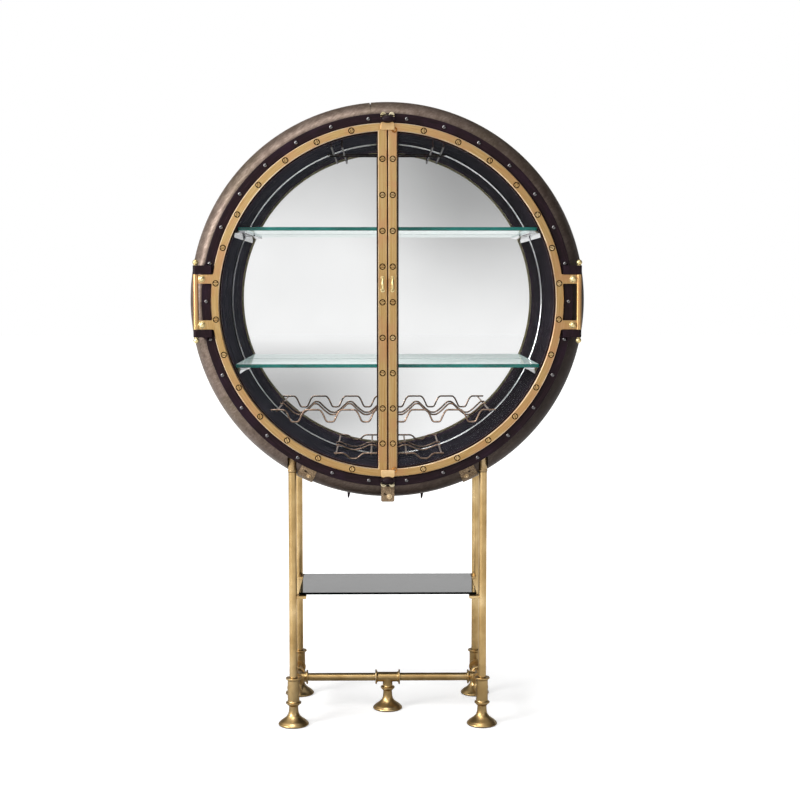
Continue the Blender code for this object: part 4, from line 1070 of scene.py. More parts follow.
def make_bottom_bracket(casting, bright):
    """Flat plate that hangs past the shell's edge, on a narrower strap bent round the shoulder."""
    strap = bracket_plate(math.pi, BOTTOM_BRACKET_WRAP_WIDTH, RING_OUTER_RADIUS + BRACKET_GAP)
    half = BOTTOM_BRACKET_WIDTH / 2
    top, low = BOTTOM_BRACKET_RANGE
    corner = BOTTOM_BRACKET_CORNER
    outline = softened([(-half, -top), (half, -top), (half, corner - low), (half - corner, -low),
                        (corner - half, -low), (-half, corner - low)], 0.0015, 3)
    front = RIM_FRONT - 3 * BRACKET_GAP - BRACKET_THICKNESS
    back = front + BRACKET_THICKNESS
    plate = prism([(p.x, DRUM_Z + p.y) for p in outline], (RING_FACE + front, RING_FACE + back))
    plate = united(strap, soft_edges(plate, 0.0006, 2, 60))
    (hole_x, hole_z), (bolt_x, bolt_z) = BOTTOM_BRACKET_HOLE, BOTTOM_BRACKET_BOLT
    hole_place = facing_front(hole_x, back, hole_z, 0.5)
    bolt_place = facing_front(bolt_x, front, bolt_z)
    finish_bracket("bottom_bracket", plate, hole_place, bolt_place, casting, bright)


# Doors

def door_loop(side, radius, meeting_x, depth):
    """D-shaped loop: an arc of the door's side of the drum, closed by the straight stile."""
    lean = math.asin(meeting_x / radius)
    loop = []
    for i in range(DOOR_ARC_STEPS + 1):
        angle = lean + (math.pi - 2 * lean) * i / DOOR_ARC_STEPS
        loop.append(drum_point(radius, depth, side * angle))
    return loop


def door_ring(side):
    """Half-ring frame with its meeting stile, its bevels and the rebate for the pane."""
    edge = MEETING_GAP / 2
    inner = edge + STILE_WIDTH
    rebate_radius = DOOR_OPENING_RADIUS + REBATE_WIDTH
    rebate_x = inner - REBATE_WIDTH
    crisp = 0.0004
    rows = [
        (DOOR_OUTER_RADIUS - crisp, edge + crisp, DOOR_BACK),
        (DOOR_OUTER_RADIUS, edge, DOOR_BACK - crisp),
        (DOOR_OUTER_RADIUS, edge, DOOR_FRONT + DOOR_BEVEL),
        (DOOR_OUTER_RADIUS - DOOR_BEVEL, edge + DOOR_BEVEL, DOOR_FRONT),
        (DOOR_OPENING_RADIUS + DOOR_BEVEL, inner - DOOR_BEVEL, DOOR_FRONT),
        (DOOR_OPENING_RADIUS, inner, DOOR_FRONT + DOOR_BEVEL),
        (DOOR_OPENING_RADIUS, inner, REBATE_FRONT),
        (rebate_radius, rebate_x, REBATE_FRONT),
        (rebate_radius, rebate_x, DOOR_BACK),
    ]
    return skin([door_loop(side, *row) for row in rows], wrap=True)


def screw_places(side):
    """(x, z, turn of the slot) of each slotted screw of one door."""
    chooser = random.Random(7 + side)
    places = []
    for k in range(1, SCREWS_ON_ARC + 1):
        angle = SCREW_STEP * k
        by_hinge = abs(angle - math.pi / 2) < 1.7 * SCREW_STEP
        turn = math.radians(90 if by_hinge else 8) + chooser.uniform(-0.22, 0.22)
        places.append((side * SCREW_CIRCLE * math.sin(angle), SCREW_CIRCLE * math.cos(angle), turn))
    for k in range(STILE_SCREWS):
        z = STILE_SCREW_MIDDLE + STILE_SCREW_PITCH * (k - (STILE_SCREWS - 1) / 2)
        turn = math.pi / 2 + chooser.uniform(-0.12, 0.12)
        places.append((side * (MEETING_GAP + STILE_WIDTH) / 2, z, turn))
    return places


def slotted_screw():
    """Flat countersunk head whose slot has sloping sides, turned about +Z."""
    top = RECESS_DEPTH + 0.0003
    head = turned([(SCREW_RADIUS - 0.0004, 0.00015), (SCREW_RADIUS, top - 0.0007), (SCREW_RADIUS * 0.84, top),
                   (0.0004, top + 0.0003)], steps=28, soft=0.0003)
    half = [(SLOT_BOTTOM, top - 0.0008), (SLOT_MOUTH, top + 0.0003), (SLOT_MOUTH, top + 0.0008)]
    shape = [(-x, z) for x, z in half[::-1]] + half
    slot = skin([[Vector((x, y, z)) for x, z in shape] for y in (-0.01, 0.01)])
    return cut(head, slot)


def hinge_strap(side):
    """Barrel, and two arms that flare into the door's ring."""
    barrel_profile = [(0.001, BARREL_BOTTOM), (BARREL_RADIUS, BARREL_BOTTOM),
                      (BARREL_RADIUS, BARREL_TOP), (0.001, BARREL_TOP)]
    strap = turned(barrel_profile, hinge_place(side), soft=0.0007)
    for low in (BARREL_TOP - ARM_HEIGHT, BARREL_BOTTOM):
        high = low + ARM_HEIGHT
        outline = []
        for edge, outward in ((low, -1), (high, 1)):
            wide = edge + outward * ARM_FLARE
            door_x = math.sqrt(DOOR_OUTER_RADIUS ** 2 - edge ** 2)
            start = Vector((math.sqrt(DOOR_OUTER_RADIUS ** 2 - wide ** 2) - 0.001, wide))
            curve = corner_curve(start, Vector((door_x, edge)), Vector((door_x + ARM_FLARE, edge)), 6)
            run = [(ARM_INNER_X, wide), *curve, (HINGE_X - BARREL_BORE, edge)]
            outline += run if outward < 0 else run[::-1]
        outline = [(side * x, DRUM_Z + z) for x, z in outline]
        arm = prism(outline, (RING_FACE + ARM_FRONT, RING_FACE + ARM_BACK))
        strap = united(strap, soft_edges(arm, 0.0006, 2, 50))
    return cut(strap, cylinder(BARREL_BORE, 2 * BARREL_BOTTOM, 2 * BARREL_TOP, hinge_place(side)))


def acorn_bolts(side):
    """Domed bolt on each arm of the hinge."""
    base = ARM_BOLT_RADIUS
    profile = [(base * 1.08, -0.001), (base * 1.08, 0.0008), (base * 0.98, 0.0012)]
    dome = turned(profile + arc((0.0, 0.0016), (base * 0.98, base * 0.85), 0, 80, 8), steps=32)
    heights = (BARREL_TOP - ARM_HEIGHT / 2, BARREL_BOTTOM + ARM_HEIGHT / 2)
    return gathered([(dome, facing_front(side * ARM_BOLT_X, ARM_FRONT, z)) for z in heights])


def make_door_frame(prefix, side, places, looks, body):
    """Brass casting of ring, stile and hinge strap, with a recess for each screw."""
    recess = cylinder(RECESS_RADIUS, -RECESS_DEPTH, RECESS_DEPTH, steps=28)
    recesses = gathered([(recess, facing_front(x, DOOR_FRONT, z)) for x, z, _ in places])
    door_frame = cut(united(door_ring(side), hinge_strap(side)), recesses)
    front_y = RING_FACE + DOOR_FRONT

    def frame_paint(centre, normal):
        """Patina in the screws' recesses, and a lighter brass on the bevels: rubbed edges and a painted
        highlight.
        """
        if abs(centre.x) > DOOR_OUTER_RADIUS + 0.001:
            return 0
        bottom = abs(centre.y - (front_y + RECESS_DEPTH)) < 0.0002 and normal.y < -0.9
        wall = front_y < centre.y < front_y + RECESS_DEPTH and abs(normal.y) < 0.1
        if bottom or wall:
            return 2
        bevelled = 0.4 < abs(normal.y) < 0.9 and centre.y < front_y + DOOR_BEVEL
        return 1 if bevelled else 0

    add_piece(prefix + "_door_brass", door_frame, [looks["brass"], looks["edge"], looks["patina"]],
              "satin_brass", body, [prefix + "_door_frame"], paint=frame_paint)


def make_door_screws(prefix, places, looks, body):
    screw = slotted_screw()
    depth = DOOR_FRONT + RECESS_DEPTH
    screws = gathered([(screw, facing_front(x, depth, z, turn)) for x, z, turn in places])
    add_piece(prefix + "_door_screws", screws, [looks["screw"], looks["patina"]], "satin_brass", body,
              sharp=25, paint=lambda centre, normal: 1 if abs(normal.y) < 0.93 else 0)


def make_pane(prefix, side, looks, body):
    """Half-round pane in the door's rebate."""
    radius = DOOR_OPENING_RADIUS + REBATE_WIDTH - GLASS_EDGE_GAP
    edge = MEETING_GAP / 2 + STILE_WIDTH - REBATE_WIDTH + GLASS_EDGE_GAP
    front = REBATE_FRONT + FIT_GAP
    pane = skin([door_loop(side, radius, edge, depth) for depth in (front, front + DOOR_GLASS_THICKNESS)])
    add_piece(prefix + "_door_pane", pane, [looks["pane"], looks["green_edge"]], "clear_glass", body,
              [prefix + "_door_glass"], paint=lambda centre, normal: 0 if abs(normal.y) > 0.9 else 1)


def make_retainer(prefix, side, looks, body):
    """Flat ring that holds the pane from behind: pale at the back and black elsewhere."""
    front = DOOR_BACK + FIT_GAP
    back = front + RETAINER_THICKNESS
    outer_edge = MEETING_GAP / 2 + DOOR_OUTER_RADIUS - RETAINER_OUTER_RADIUS
    inner_edge = MEETING_GAP / 2 + STILE_WIDTH + DOOR_OPENING_RADIUS - RETAINER_INNER_RADIUS
    round_off = 0.0008
    retainer = skin([
        door_loop(side, RETAINER_OUTER_RADIUS, outer_edge, front),
        door_loop(side, RETAINER_OUTER_RADIUS, outer_edge, back),
        door_loop(side, RETAINER_INNER_RADIUS + round_off, inner_edge - round_off, back),
        door_loop(side, RETAINER_INNER_RADIUS, inner_edge, back - round_off),
        door_loop(side, RETAINER_INNER_RADIUS, inner_edge, front),
    ], wrap=True)
    add_piece(prefix + "_pane_retainer", retainer, [looks["retainer"], looks["black"]], "satin_brass", body,
              [prefix + "_glass_retainer"], paint=lambda centre, normal: 0 if normal.y > 0.5 else 1)


def make_pull(prefix, side, look, body):
    """Upright bow on the stile, thickest in the middle, on two small round seats."""
    steps = 28
    lift = PULL_REACH - PULL_RADIUS
    points = []
    for i in range(steps + 1):
        turn = math.pi * i / steps
        depth = DOOR_FRONT - lift * math.sin(turn) ** 0.6 + (0.001 if i in (0, steps) else 0.0)
        height = PULL_Z - PULL_HEIGHT / 2 * math.cos(turn)
        points.append((side * PULL_X, RING_FACE + depth, DRUM_Z + height))
    bow = tube(points, PULL_RADIUS, 20, lambda share: 0.72 + 0.28 * math.sin(math.pi * share))
    seats = []
    for end in (-1, 1):
        seat = turned(PULL_SEAT, steps=24, soft=0.0006)
        seat.transform(facing_front(side * PULL_X, DOOR_FRONT, PULL_Z + end * PULL_HEIGHT / 2))
        seats.append(seat)
    add_piece(prefix + "_bow_pull", united(bow, *seats), look, "satin_brass", body, [prefix + "_door_pull"])


def make_door(prefix, side, looks):
    body = prefix + "_door"
    places = screw_places(side)
    make_door_frame(prefix, side, places, looks, body)
    make_door_screws(prefix, places, looks, body)
    add_piece(prefix + "_hinge_bolts", acorn_bolts(side), looks["bright"], "satin_brass", body)
    make_pane(prefix, side, looks, body)
    make_retainer(prefix, side, looks, body)
    make_pull(prefix, side, looks["bright"], body)


def make_meeting_seal(look):
    """Strip behind the left stile that closes the gap between the doors."""
    reach = DOOR_OPENING_RADIUS + 0.005
    front = RING_FACE + DOOR_BACK + 0.0001
    seal = box((-SEAL_HALF_WIDTH, SEAL_HALF_WIDTH), (front, front + SEAL_THICKNESS),
               (DRUM_Z - reach, DRUM_Z + reach))
    add_piece("meeting_seal", soft_edges(seal, 0.0003, 2), look, "dark_iron", "left_door")


def make_hinge_pin(prefix, side, look):
    """Pin through knuckles and barrel, with a seat and a ball at each end."""
    seat_z = KNUCKLE_TOP + FIT_GAP
    half = [(PIN_RADIUS, seat_z), (PIN_RADIUS * 1.5, seat_z), (PIN_RADIUS * 1.5, seat_z + 0.0012)]
    half += arc((0.0, seat_z + FINIAL_RADIUS), (FINIAL_RADIUS, FINIAL_RADIUS), -56, 84, 13)
    profile = [(r, -h) for r, h in half[::-1]] + half
    pin = turned(profile, hinge_place(side), steps=32)
    add_piece(prefix + "_ball_pin", pin, look, "satin_brass", replaces=[prefix + "_hinge_pin"])


# Latches. Each part is made for the upper one, about the drum's axis and the ring's face, and the
# lower latch is its mirror image.

def lobed_outline(low, radius):
    """Plate outline whose top edge rises in two round lobes with a notch between them."""
    outline = [(-LOBE_X - radius, low), (LOBE_X + radius, low)]
    for x in (LOBE_X, -LOBE_X):
        outline += arc((x, LOBE_CENTRE_RADIUS), (radius, radius), 0, 180, 20)
    return outline


def about_latch_axis(profile, steps=PIPE_STEPS):
    """Turn a profile about the latch's own axis."""
    place = (0, LATCH_AXIS_DEPTH, LATCH_AXIS_RADIUS)
    return turned(profile, place, rotation(90, "Y"), steps)


def latch_base():
    """Plate with two raised lobes, and the two ears that hold the barrel."""
    half = LATCH_WIDTH / 2
    plate = prism(lobed_outline(LATCH_PLATE_LOW, LOBE_RADIUS), (LATCH_PLATE_FRONT, LATCH_PLATE_BACK))
    raised = lobed_outline(LOBE_CENTRE_RADIUS - 0.0012, LOBE_RADIUS - 0.0005)
    lobes = prism(raised, (LOBE_FRONT, LATCH_PLATE_BACK - 0.0010))
    root = LATCH_PLATE_BACK - FIT_GAP
    nose = arc((LATCH_AXIS_DEPTH, LATCH_AXIS_RADIUS), (EAR_RADIUS, EAR_RADIUS), 90, 270, 24)
    outline = [(root, LATCH_AXIS_RADIUS + EAR_RADIUS), *nose, (root, LATCH_AXIS_RADIUS - EAR_RADIUS)]
    ears = []
    for low, high in ((-half + FIT_GAP, -half + EAR_THICKNESS), (half - EAR_THICKNESS, half - FIT_GAP)):
        ear = skin([[Vector((x, y, z)) for y, z in outline] for x in (low, high)])
        ears.append(soft_edges(ear, 0.0009, 3, 60))
    bore = about_latch_axis([(JOURNAL_RADIUS + 0.0006, -half), (JOURNAL_RADIUS + 0.0006, half)], 24)
    plate = soft_edges(plate, 0.0006, 2, 60)
    lobes = soft_edges(lobes, 0.0022, 4, 60)
    return cut(united(plate, lobes, *ears), bore)


def barrel_radius(share):
    """Radius of the latch's swollen barrel, from its middle (0) to an end (1)."""
    return LATCH_BARREL_RADIUS - (LATCH_BARREL_RADIUS - LATCH_BARREL_END_RADIUS) * share ** 2


def barrel_curve(spare):
    half = LATCH_BARREL_LENGTH / 2
    return [(barrel_radius(abs(k / 12)) + spare, half * k / 12) for k in range(-12, 13)]


def latch_barrel():
    """Barrel that swells towards its middle, on a thin journal at each end."""
    half = LATCH_BARREL_LENGTH / 2
    end = LATCH_WIDTH / 2 - FIT_GAP
    profile = [(JOURNAL_RADIUS * 0.8, -end), (JOURNAL_RADIUS, -end + 0.0006), (JOURNAL_RADIUS, -half)]
    profile += barrel_curve(0.0)
    profile += [(JOURNAL_RADIUS, half), (JOURNAL_RADIUS, end - 0.0006), (JOURNAL_RADIUS * 0.8, end)]
    return about_latch_axis(profile)


def latch_flap():
    """Plate with a tongue that is coped round the barrel."""
    half = LATCH_WIDTH / 2
    tongue_half = LATCH_BARREL_LENGTH / 2 - FIT_GAP
    low, high = FLAP_RANGE
    depths = (FLAP_FRONT, FLAP_BACK)
    corners = [(0.001 - half, high), (half - 0.001, high), (half, low), (-half, low)]
    plate = soft_edges(prism(softened(corners, FLAP_CORNER, 6), depths), 0.0013, 4, 60)
    tongue = box((-tongue_half, tongue_half), depths, (high - JOURNAL_RADIUS, FLAP_TONGUE_TOP))
    cope = about_latch_axis(barrel_curve(2 * FIT_GAP))
    return cut(united(plate, soft_edges(tongue, 0.0006, 2)), cope)


def latch_eye():
    """Small round eye that grows out of the flap's free corner."""
    centre = Vector((LATCH_WIDTH / 2 - 0.001, (FLAP_FRONT + FLAP_BACK) / 2, FLAP_RANGE[0] + 0.0005))
    loops = []
    for k in range(40):
        angle = 2 * math.pi * k / 40
        out = Vector((math.cos(angle), 0, math.sin(angle)))
        loops.append([centre + out * (LATCH_EYE_RADIUS + LATCH_EYE_WIRE * math.cos(t))
                      + Vector((0, LATCH_EYE_WIRE * math.sin(t), 0))
                      for t in (2 * math.pi * j / 14 for j in range(14))])
    return skin(loops, wrap=True)


def make_latch(prefix, side, looks):
    """Fixed plate, barrel, and flap with its eye. The side is 1 at the top and -1 at the bottom."""
    body = prefix + "_latch"

    def base_paint(centre, normal):
        """Bare brass on the lobes, and enamel on the ears and the plate between them."""
        by_lobes = side * (centre.z - DRUM_Z) > LOBE_CENTRE_RADIUS - LOBE_RADIUS + 0.0010
        return 0 if by_lobes and centre.y - RING_FACE < LOBE_FRONT + 0.0030 else 1

    def place(name, mesh, look, slot, body, node=None, paint=None):
        if side < 0:
            mesh.transform(Matrix.Scale(-1, 4, (0, 0, 1)))
            mesh.flip_normals()
        mesh.transform(Matrix.Translation((0, RING_FACE, DRUM_Z)))
        add_piece(prefix + name, mesh, look, slot, body, [prefix + node] if node else [], paint=paint)

    place("_latch_plate", latch_base(), [looks["lobe"], looks["black"]], "satin_brass", "root",
          "_latch_base", base_paint)
    place("_latch_roller", latch_barrel(), looks["black"], "dark_iron", body, "_latch_barrel")
    place("_latch_tongue", latch_flap(), looks["flap"], "satin_brass", body, "_latch_flap")
    place("_latch_eye", latch_eye(), looks["eye"], "satin_brass", body)


# Shelves and racks

def glass_sheet(name, node, slot, looks, polish):
    """Sheet with polished edges. Its looks are for the faces, the edges and the rear edge."""
    low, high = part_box(node)
    sheet = soft_edges(box((low.x, high.x), (low.y, high.y), (low.z, high.z)), polish, 3)

    def paint(centre, normal):
        if abs(normal.z) > 0.98:
            return 0
        return 2 if normal.y > 0.5 else 1

    add_piece(name, sheet, looks, slot, replaces=[node], paint=paint)


def make_inner_shelves(edge, chrome):
    # The shelf glass glows faintly: painted light from the glass itself.
    faces = float_glass("shelf_glass", (0.92, 1.0, 0.99, 1.0), 0.90, 0.03, 0.25)
    # Painted highlight: the shelves' rear edges are near white instead of the glass's green.
    rear_edge_highlight = glass_edge("pale_glass_edge_highlight", srgb(216, 242, 238), srgb(244, 254, 252))
    looks = [faces, edge, rear_edge_highlight]
    for prefix in ("upper", "lower"):
        glass_sheet(prefix + "_shelf_glass", prefix + "_glass_shelf", "clear_glass", looks, 0.0012)
        for side_name, side in SIDES:
            make_shelf_clip(prefix, side_name, side, chrome)


def make_stand_shelf():
    faces = float_glass("smoked_glass", (0.018, 0.020, 0.020, 1.0), 0.97, 0.80)
    edge = glass_edge("smoked_glass_edge", srgb(4, 5, 5), srgb(16, 20, 20), shine=0.0)
    glass_sheet("stand_glass", "stand_shelf", "smoked_glass", [faces, edge, edge], 0.0016)


def make_shelf_clip(prefix, side_name, side, chrome):
    """Polished angle rail under one end of a glass shelf, with a lip and a hollow underside."""
    node = prefix + "_" + side_name + "_shelf_clip"
    low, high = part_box(node)

    def wall_x(z):
        return math.sqrt((LINER_INNER_RADIUS - 0.0010) ** 2 - (z - DRUM_Z) ** 2)

    lip = (high.z - low.z) / 5
    inner = min(abs(low.x), abs(high.x))
    outline = softened([
        (inner, high.z),
        (wall_x(high.z), high.z),
        (wall_x(low.z), low.z),
        (wall_x(low.z) - lip, low.z),
        (wall_x(low.z) - lip * 1.4, high.z - lip * 1.9),
        (inner + lip, high.z - lip * 1.1),
        (inner, high.z - lip * 1.6),
    ], 0.0012, 3)
    clip = prism([(side * p.x, p.y) for p in outline], (low.y, high.y))
    clip = soft_edges(clip, 0.0006, 2, 60)
    add_piece(prefix + "_" + side_name + "_shelf_rail", clip, chrome, "chrome", replaces=[node])


def front_wire_path(centre_x, count, top, drop, end_run):
    """Front wire of a rack: it dips at each cradle."""
    first = centre_x - CRADLE_PITCH * (count - 1) / 2
    points = [(first - CRADLE_HALF_WIDTH - end_run, top)]
    for k in range(count):
        middle = first + CRADLE_PITCH * k
        points.append((middle - CRADLE_HALF_WIDTH, top))
        for across, down in CRADLE_SHAPE:
            points.append((middle + CRADLE_HALF_WIDTH * across, top - drop * down))
        points.append((middle + CRADLE_HALF_WIDTH, top))
    points.append((points[-1][0] + end_run, top))
    return points


def rear_wire_path(centre_x, count, top, drop):
    """Rear wire of a rack: rounder waves, with half a wave more at each end where there is room."""
    half = CRADLE_PITCH / 2
    first = centre_x - half * count
    points = []
    for k in range(count + 1):
        peak = first + CRADLE_PITCH * k
        points.append((peak - half * REAR_PEAK_HALF_WIDTH, top))
        points.append((peak + half * REAR_PEAK_HALF_WIDTH, top))
        if k < count:
            for across, down in REAR_DIP_SHAPE:
                points.append((peak + half * across, top - drop * down))
    slope_end = half * REAR_DIP_SHAPE[0][0]
    slope_z = top - drop * REAR_DIP_SHAPE[0][1]
    if math.hypot(half * count + slope_end, slope_z) < LINER_INNER_RADIUS - 3 * WIRE_RADIUS:
        points.insert(0, (first - slope_end, slope_z))
        points.append((first + 2 * half * count + slope_end, slope_z))
    return points


def bent_wire(points, depth):
    path = softened(points, 0.006, 5, closed=False)
    return tube([(p.x, RING_FACE + depth, DRUM_Z + p.y) for p in path], WIRE_RADIUS)


def straight_wire(start, end):
    """Rod between two (x, depth, z) places in the drum, with rounded tips."""
    ends = [Vector((x, RING_FACE + d, DRUM_Z + z)) for x, d, z in (start, end)]
    along = (ends[1] - ends[0]).normalized()
    tip = WIRE_RADIUS * 0.6
    points = [ends[0], ends[0] + along * tip, ends[1] - along * tip, ends[1]]
    return tube(points, WIRE_RADIUS, 12, lambda share: 0.55 if share in (0, 1) else 1.0)


def make_bottle_rack(name, look):
    """Two wavy wires on straight rods that run from front to back."""
    centre_x, count, top, drop, end_run = BOTTLE_RACKS[name]
    parts = [bent_wire(front_wire_path(centre_x, count, top, drop, end_run), RACK_FRONT),
             bent_wire(rear_wire_path(centre_x, count, top, drop), RACK_BACK)]
    outermost = CRADLE_PITCH * count / 2
    middle = [-CRADLE_PITCH / 2, CRADLE_PITCH / 2] if count % 2 else [0.0]
    for x in [-outermost, *middle, outermost]:
        z = top - WIRE_RADIUS
        parts.append(straight_wire((centre_x + x, RACK_FRONT - WIRE_RADIUS, z),
                                   (centre_x + x, RACK_BACK + WIRE_RADIUS, z)))
    rack = gathered([(part, Matrix.Identity(4)) for part in parts])
    add_piece(name.replace("bottle", "wire"), rack, look, "bronze_wire", replaces=[name], sharp=50)


def make_stemware_rack(look):
    """Six rails for stems on one rear cross rod. Each rail's front end bends up to the liner."""
    def ceiling(x):
        return math.sqrt((LINER_INNER_RADIUS - 0.0012) ** 2 - (abs(x) + WIRE_RADIUS) ** 2)

    z = STEM_RAIL_Z
    reach = ceiling(z)
    parts = [straight_wire((-reach, STEM_RACK_BACK, z), (reach, STEM_RACK_BACK, z))]
    for channel in STEM_CHANNELS:
        for x in (channel - STEM_RAIL_GAP / 2, channel + STEM_RAIL_GAP / 2):
            back = STEM_RACK_BACK + WIRE_RADIUS
            path = softened([(STEM_RACK_FRONT, ceiling(x)), (STEM_RACK_FRONT, z), (back, z)],
                            STEM_HOOK_BEND, 6, closed=False)
            parts.append(tube([(x, RING_FACE + p.x, DRUM_Z + p.y) for p in path], WIRE_RADIUS))
    rack = gathered([(part, Matrix.Identity(4)) for part in parts])
    add_piece("stem_rails", rack, look, "bronze_wire", replaces=["stemware_rack"], sharp=50)


# Stand

def foot_profile():
    """Bell foot: a round rim, a crease, a bell-shaped flare up to the neck and a conical cap."""
    rim = [(0.002, 0.0), (FOOT_BASE_RADIUS, 0.0), (FOOT_RADIUS, 0.0025), (FOOT_RADIUS - 0.0004, 0.0055),
           (FOOT_BELL_RADIUS + 0.0006, FOOT_BELL_BOTTOM - 0.0008)]
    points = softened(rim, 0.0016, closed=False)
    for k in range(25):
        height = FOOT_BELL_BOTTOM + (FOOT_NECK_TOP - FOOT_BELL_BOTTOM) * k / 24
        rise = (height - FOOT_BELL_BOTTOM) / FOOT_BELL_SCALE
        swell = math.exp(-rise ** FOOT_BELL_POWER)
        points.append((FOOT_NECK_RADIUS + (FOOT_BELL_RADIUS - 0.0005 - FOOT_NECK_RADIUS) * swell, height))
    top = FOOT_HEIGHT - FIT_GAP
    cap = [(FOOT_NECK_RADIUS, FOOT_NECK_TOP + 0.0004), (FOOT_CAP_RADIUS, top - 0.0015),
           (FOOT_CAP_RADIUS, top), (0.002, top)]
    return points + softened(cap, 0.0008, 3, closed=False)


def flared_end(radius, flange_radius, end, inward):
    """Outer half of a fitting's lip: a rounded flange and a smooth flare into the body."""
    flange = end + inward * TEE_FLANGE_THICKNESS
    edge = 0.0009
    points = [(flange_radius - edge, end), (flange_radius - edge * 0.3, end + inward * edge * 0.3),
              (flange_radius, end + inward * edge), (flange_radius, flange - inward * edge),
              (flange_radius - edge * 0.3, flange - inward * edge * 0.3), (flange_radius - edge, flange)]
    reach = flange_radius - edge - radius
    for k in range(1, 7):
        turn = math.pi / 2 * k / 6
        points.append((flange_radius - edge - reach * math.sin(turn),
                       flange + inward * (TEE_FLARE - TEE_FLARE * math.cos(turn))))
    return points


def tee_body(low, high, radius, place, lie=None):
    """Through part of a tee, with a lip at both ends."""
    bottom = flared_end(radius, TEE_FLANGE_RADIUS, low, 1)
    top = flared_end(radius, TEE_FLANGE_RADIUS, high, -1)
    return turned(bottom + top[::-1], place, lie)


def tee_branch(reach, place, lie):
    """Side branch of a tee, with a lip at its end."""
    lip = flared_end(BRANCH_RADIUS, BRANCH_FLANGE_RADIUS, reach, -1)
    return turned([(BRANCH_RADIUS, 0.0)] + lip[::-1], place, lie)


def pipe(radius, start, end, place, lie=None):
    """Round bar with eased ends."""
    ease = 0.0004
    profile = [(radius - ease, start), (radius, start + ease), (radius, end - ease), (radius - ease, end)]
    return turned(softened(profile, ease / 2, 2, closed=False), place, lie)


def make_pipework(brass):
    """Tees, bars and feet of the stand, joined at one height."""
    slot = "antique_brass"
    foot_places = {"centre": (0.0, MIDDLE_DEPTH)}
    axis = Vector((0, RING_FACE + MIDDLE_DEPTH, BAR_HEIGHT))
    to_mid = MIDDLE_DEPTH - FRONT_LEG_DEPTH
    for side_name, side in SIDES:
        for end_name, depth, inward in (("front", FRONT_LEG_DEPTH, 1), ("rear", REAR_LEG_DEPTH, -1)):
            label = end_name + "_" + side_name
            foot_places[label] = (side * LEG_X, depth)
            lie = rotation(-90 * inward, "X")
            place = Vector((side * LEG_X, RING_FACE + depth, 0))
            up = place + Vector((0, 0, BAR_HEIGHT))
            body = tee_body(FOOT_HEIGHT, TEE_TOP, TEE_RADIUS, place)
            tee = united(body, tee_branch(BRANCH_LENGTH, up, lie))
            add_piece(label + "_pipe_tee", tee, brass, slot, replaces=[label + "_leg_tee"])
            bar = pipe(BAR_RADIUS, BRANCH_LENGTH + FIT_GAP, to_mid - CENTRE_TEE_REACH - FIT_GAP, up, lie)
            add_piece(label + "_side_pipe", bar, brass, slot, replaces=[label + "_side_bar"])
        outward = rotation(90 * side, "Y")
        middle = axis + Vector((side * LEG_X, 0, 0))
        through = tee_body(-CENTRE_TEE_REACH, CENTRE_TEE_REACH, TEE_RADIUS, middle, rotation(90, "X"))
        branch = tee_branch(INNER_BRANCH_LENGTH, middle, outward.inverted())
        add_piece(side_name + "_middle_pipe_tee", united(through, branch), brass, slot,
                  replaces=[side_name + "_mid_tee"])
        cross_end = LEG_X - INNER_BRANCH_LENGTH - FIT_GAP
        cross = pipe(BAR_RADIUS, CENTRE_TEE_REACH + FIT_GAP, cross_end, axis, outward)
        add_piece(side_name + "_cross_pipe", cross, brass, slot, replaces=[side_name + "_cross_bar"])
    through = tee_body(-CENTRE_TEE_REACH, CENTRE_TEE_REACH, BRANCH_RADIUS, axis, rotation(90, "Y"))
    drop = tee_branch(BAR_HEIGHT - FOOT_HEIGHT, axis, rotation(180, "X"))
    add_piece("centre_pipe_tee", united(through, drop), brass, slot, replaces=["centre_tee"])
    for label, (x, depth) in foot_places.items():
        foot = turned(foot_profile(), (x, RING_FACE + depth, 0), steps=64)
        add_piece(label + "_bell_foot", foot, brass, slot, replaces=[label + "_foot"])


def leg_tab(side, depth, inward):
    """Welded tab that carries a corner of the stand's shelf."""
    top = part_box("stand_shelf")[0].z - FIT_GAP
    reach = FRONT_TAB_REACH if inward > 0 else REAR_TAB_REACH
    y = RING_FACE + depth
    return soft_edges(box(
        sorted((side * LEG_X, side * LEG_TAB_INNER_X)),
        sorted((y - inward * LEG_RADIUS * 0.4, y + inward * reach)),
        (top - LEG_TAB_THICKNESS, top),
    ), 0.001)


def leg_paint(centre, normal):
    """Collar and bead in a lighter, less metallic brass as a painted highlight, with a brown band in the
    groove under the bead that is patina and painted shade.
    """
    height = centre.z - LEG_BEAD_HEIGHT
    # Painted shade and patina: a brown band in the groove under the bead.
    low, high = LEG_PATINA_AND_SHADE_BAND
    if low < height < high:
        return 2
    return 1 if height > high else 0


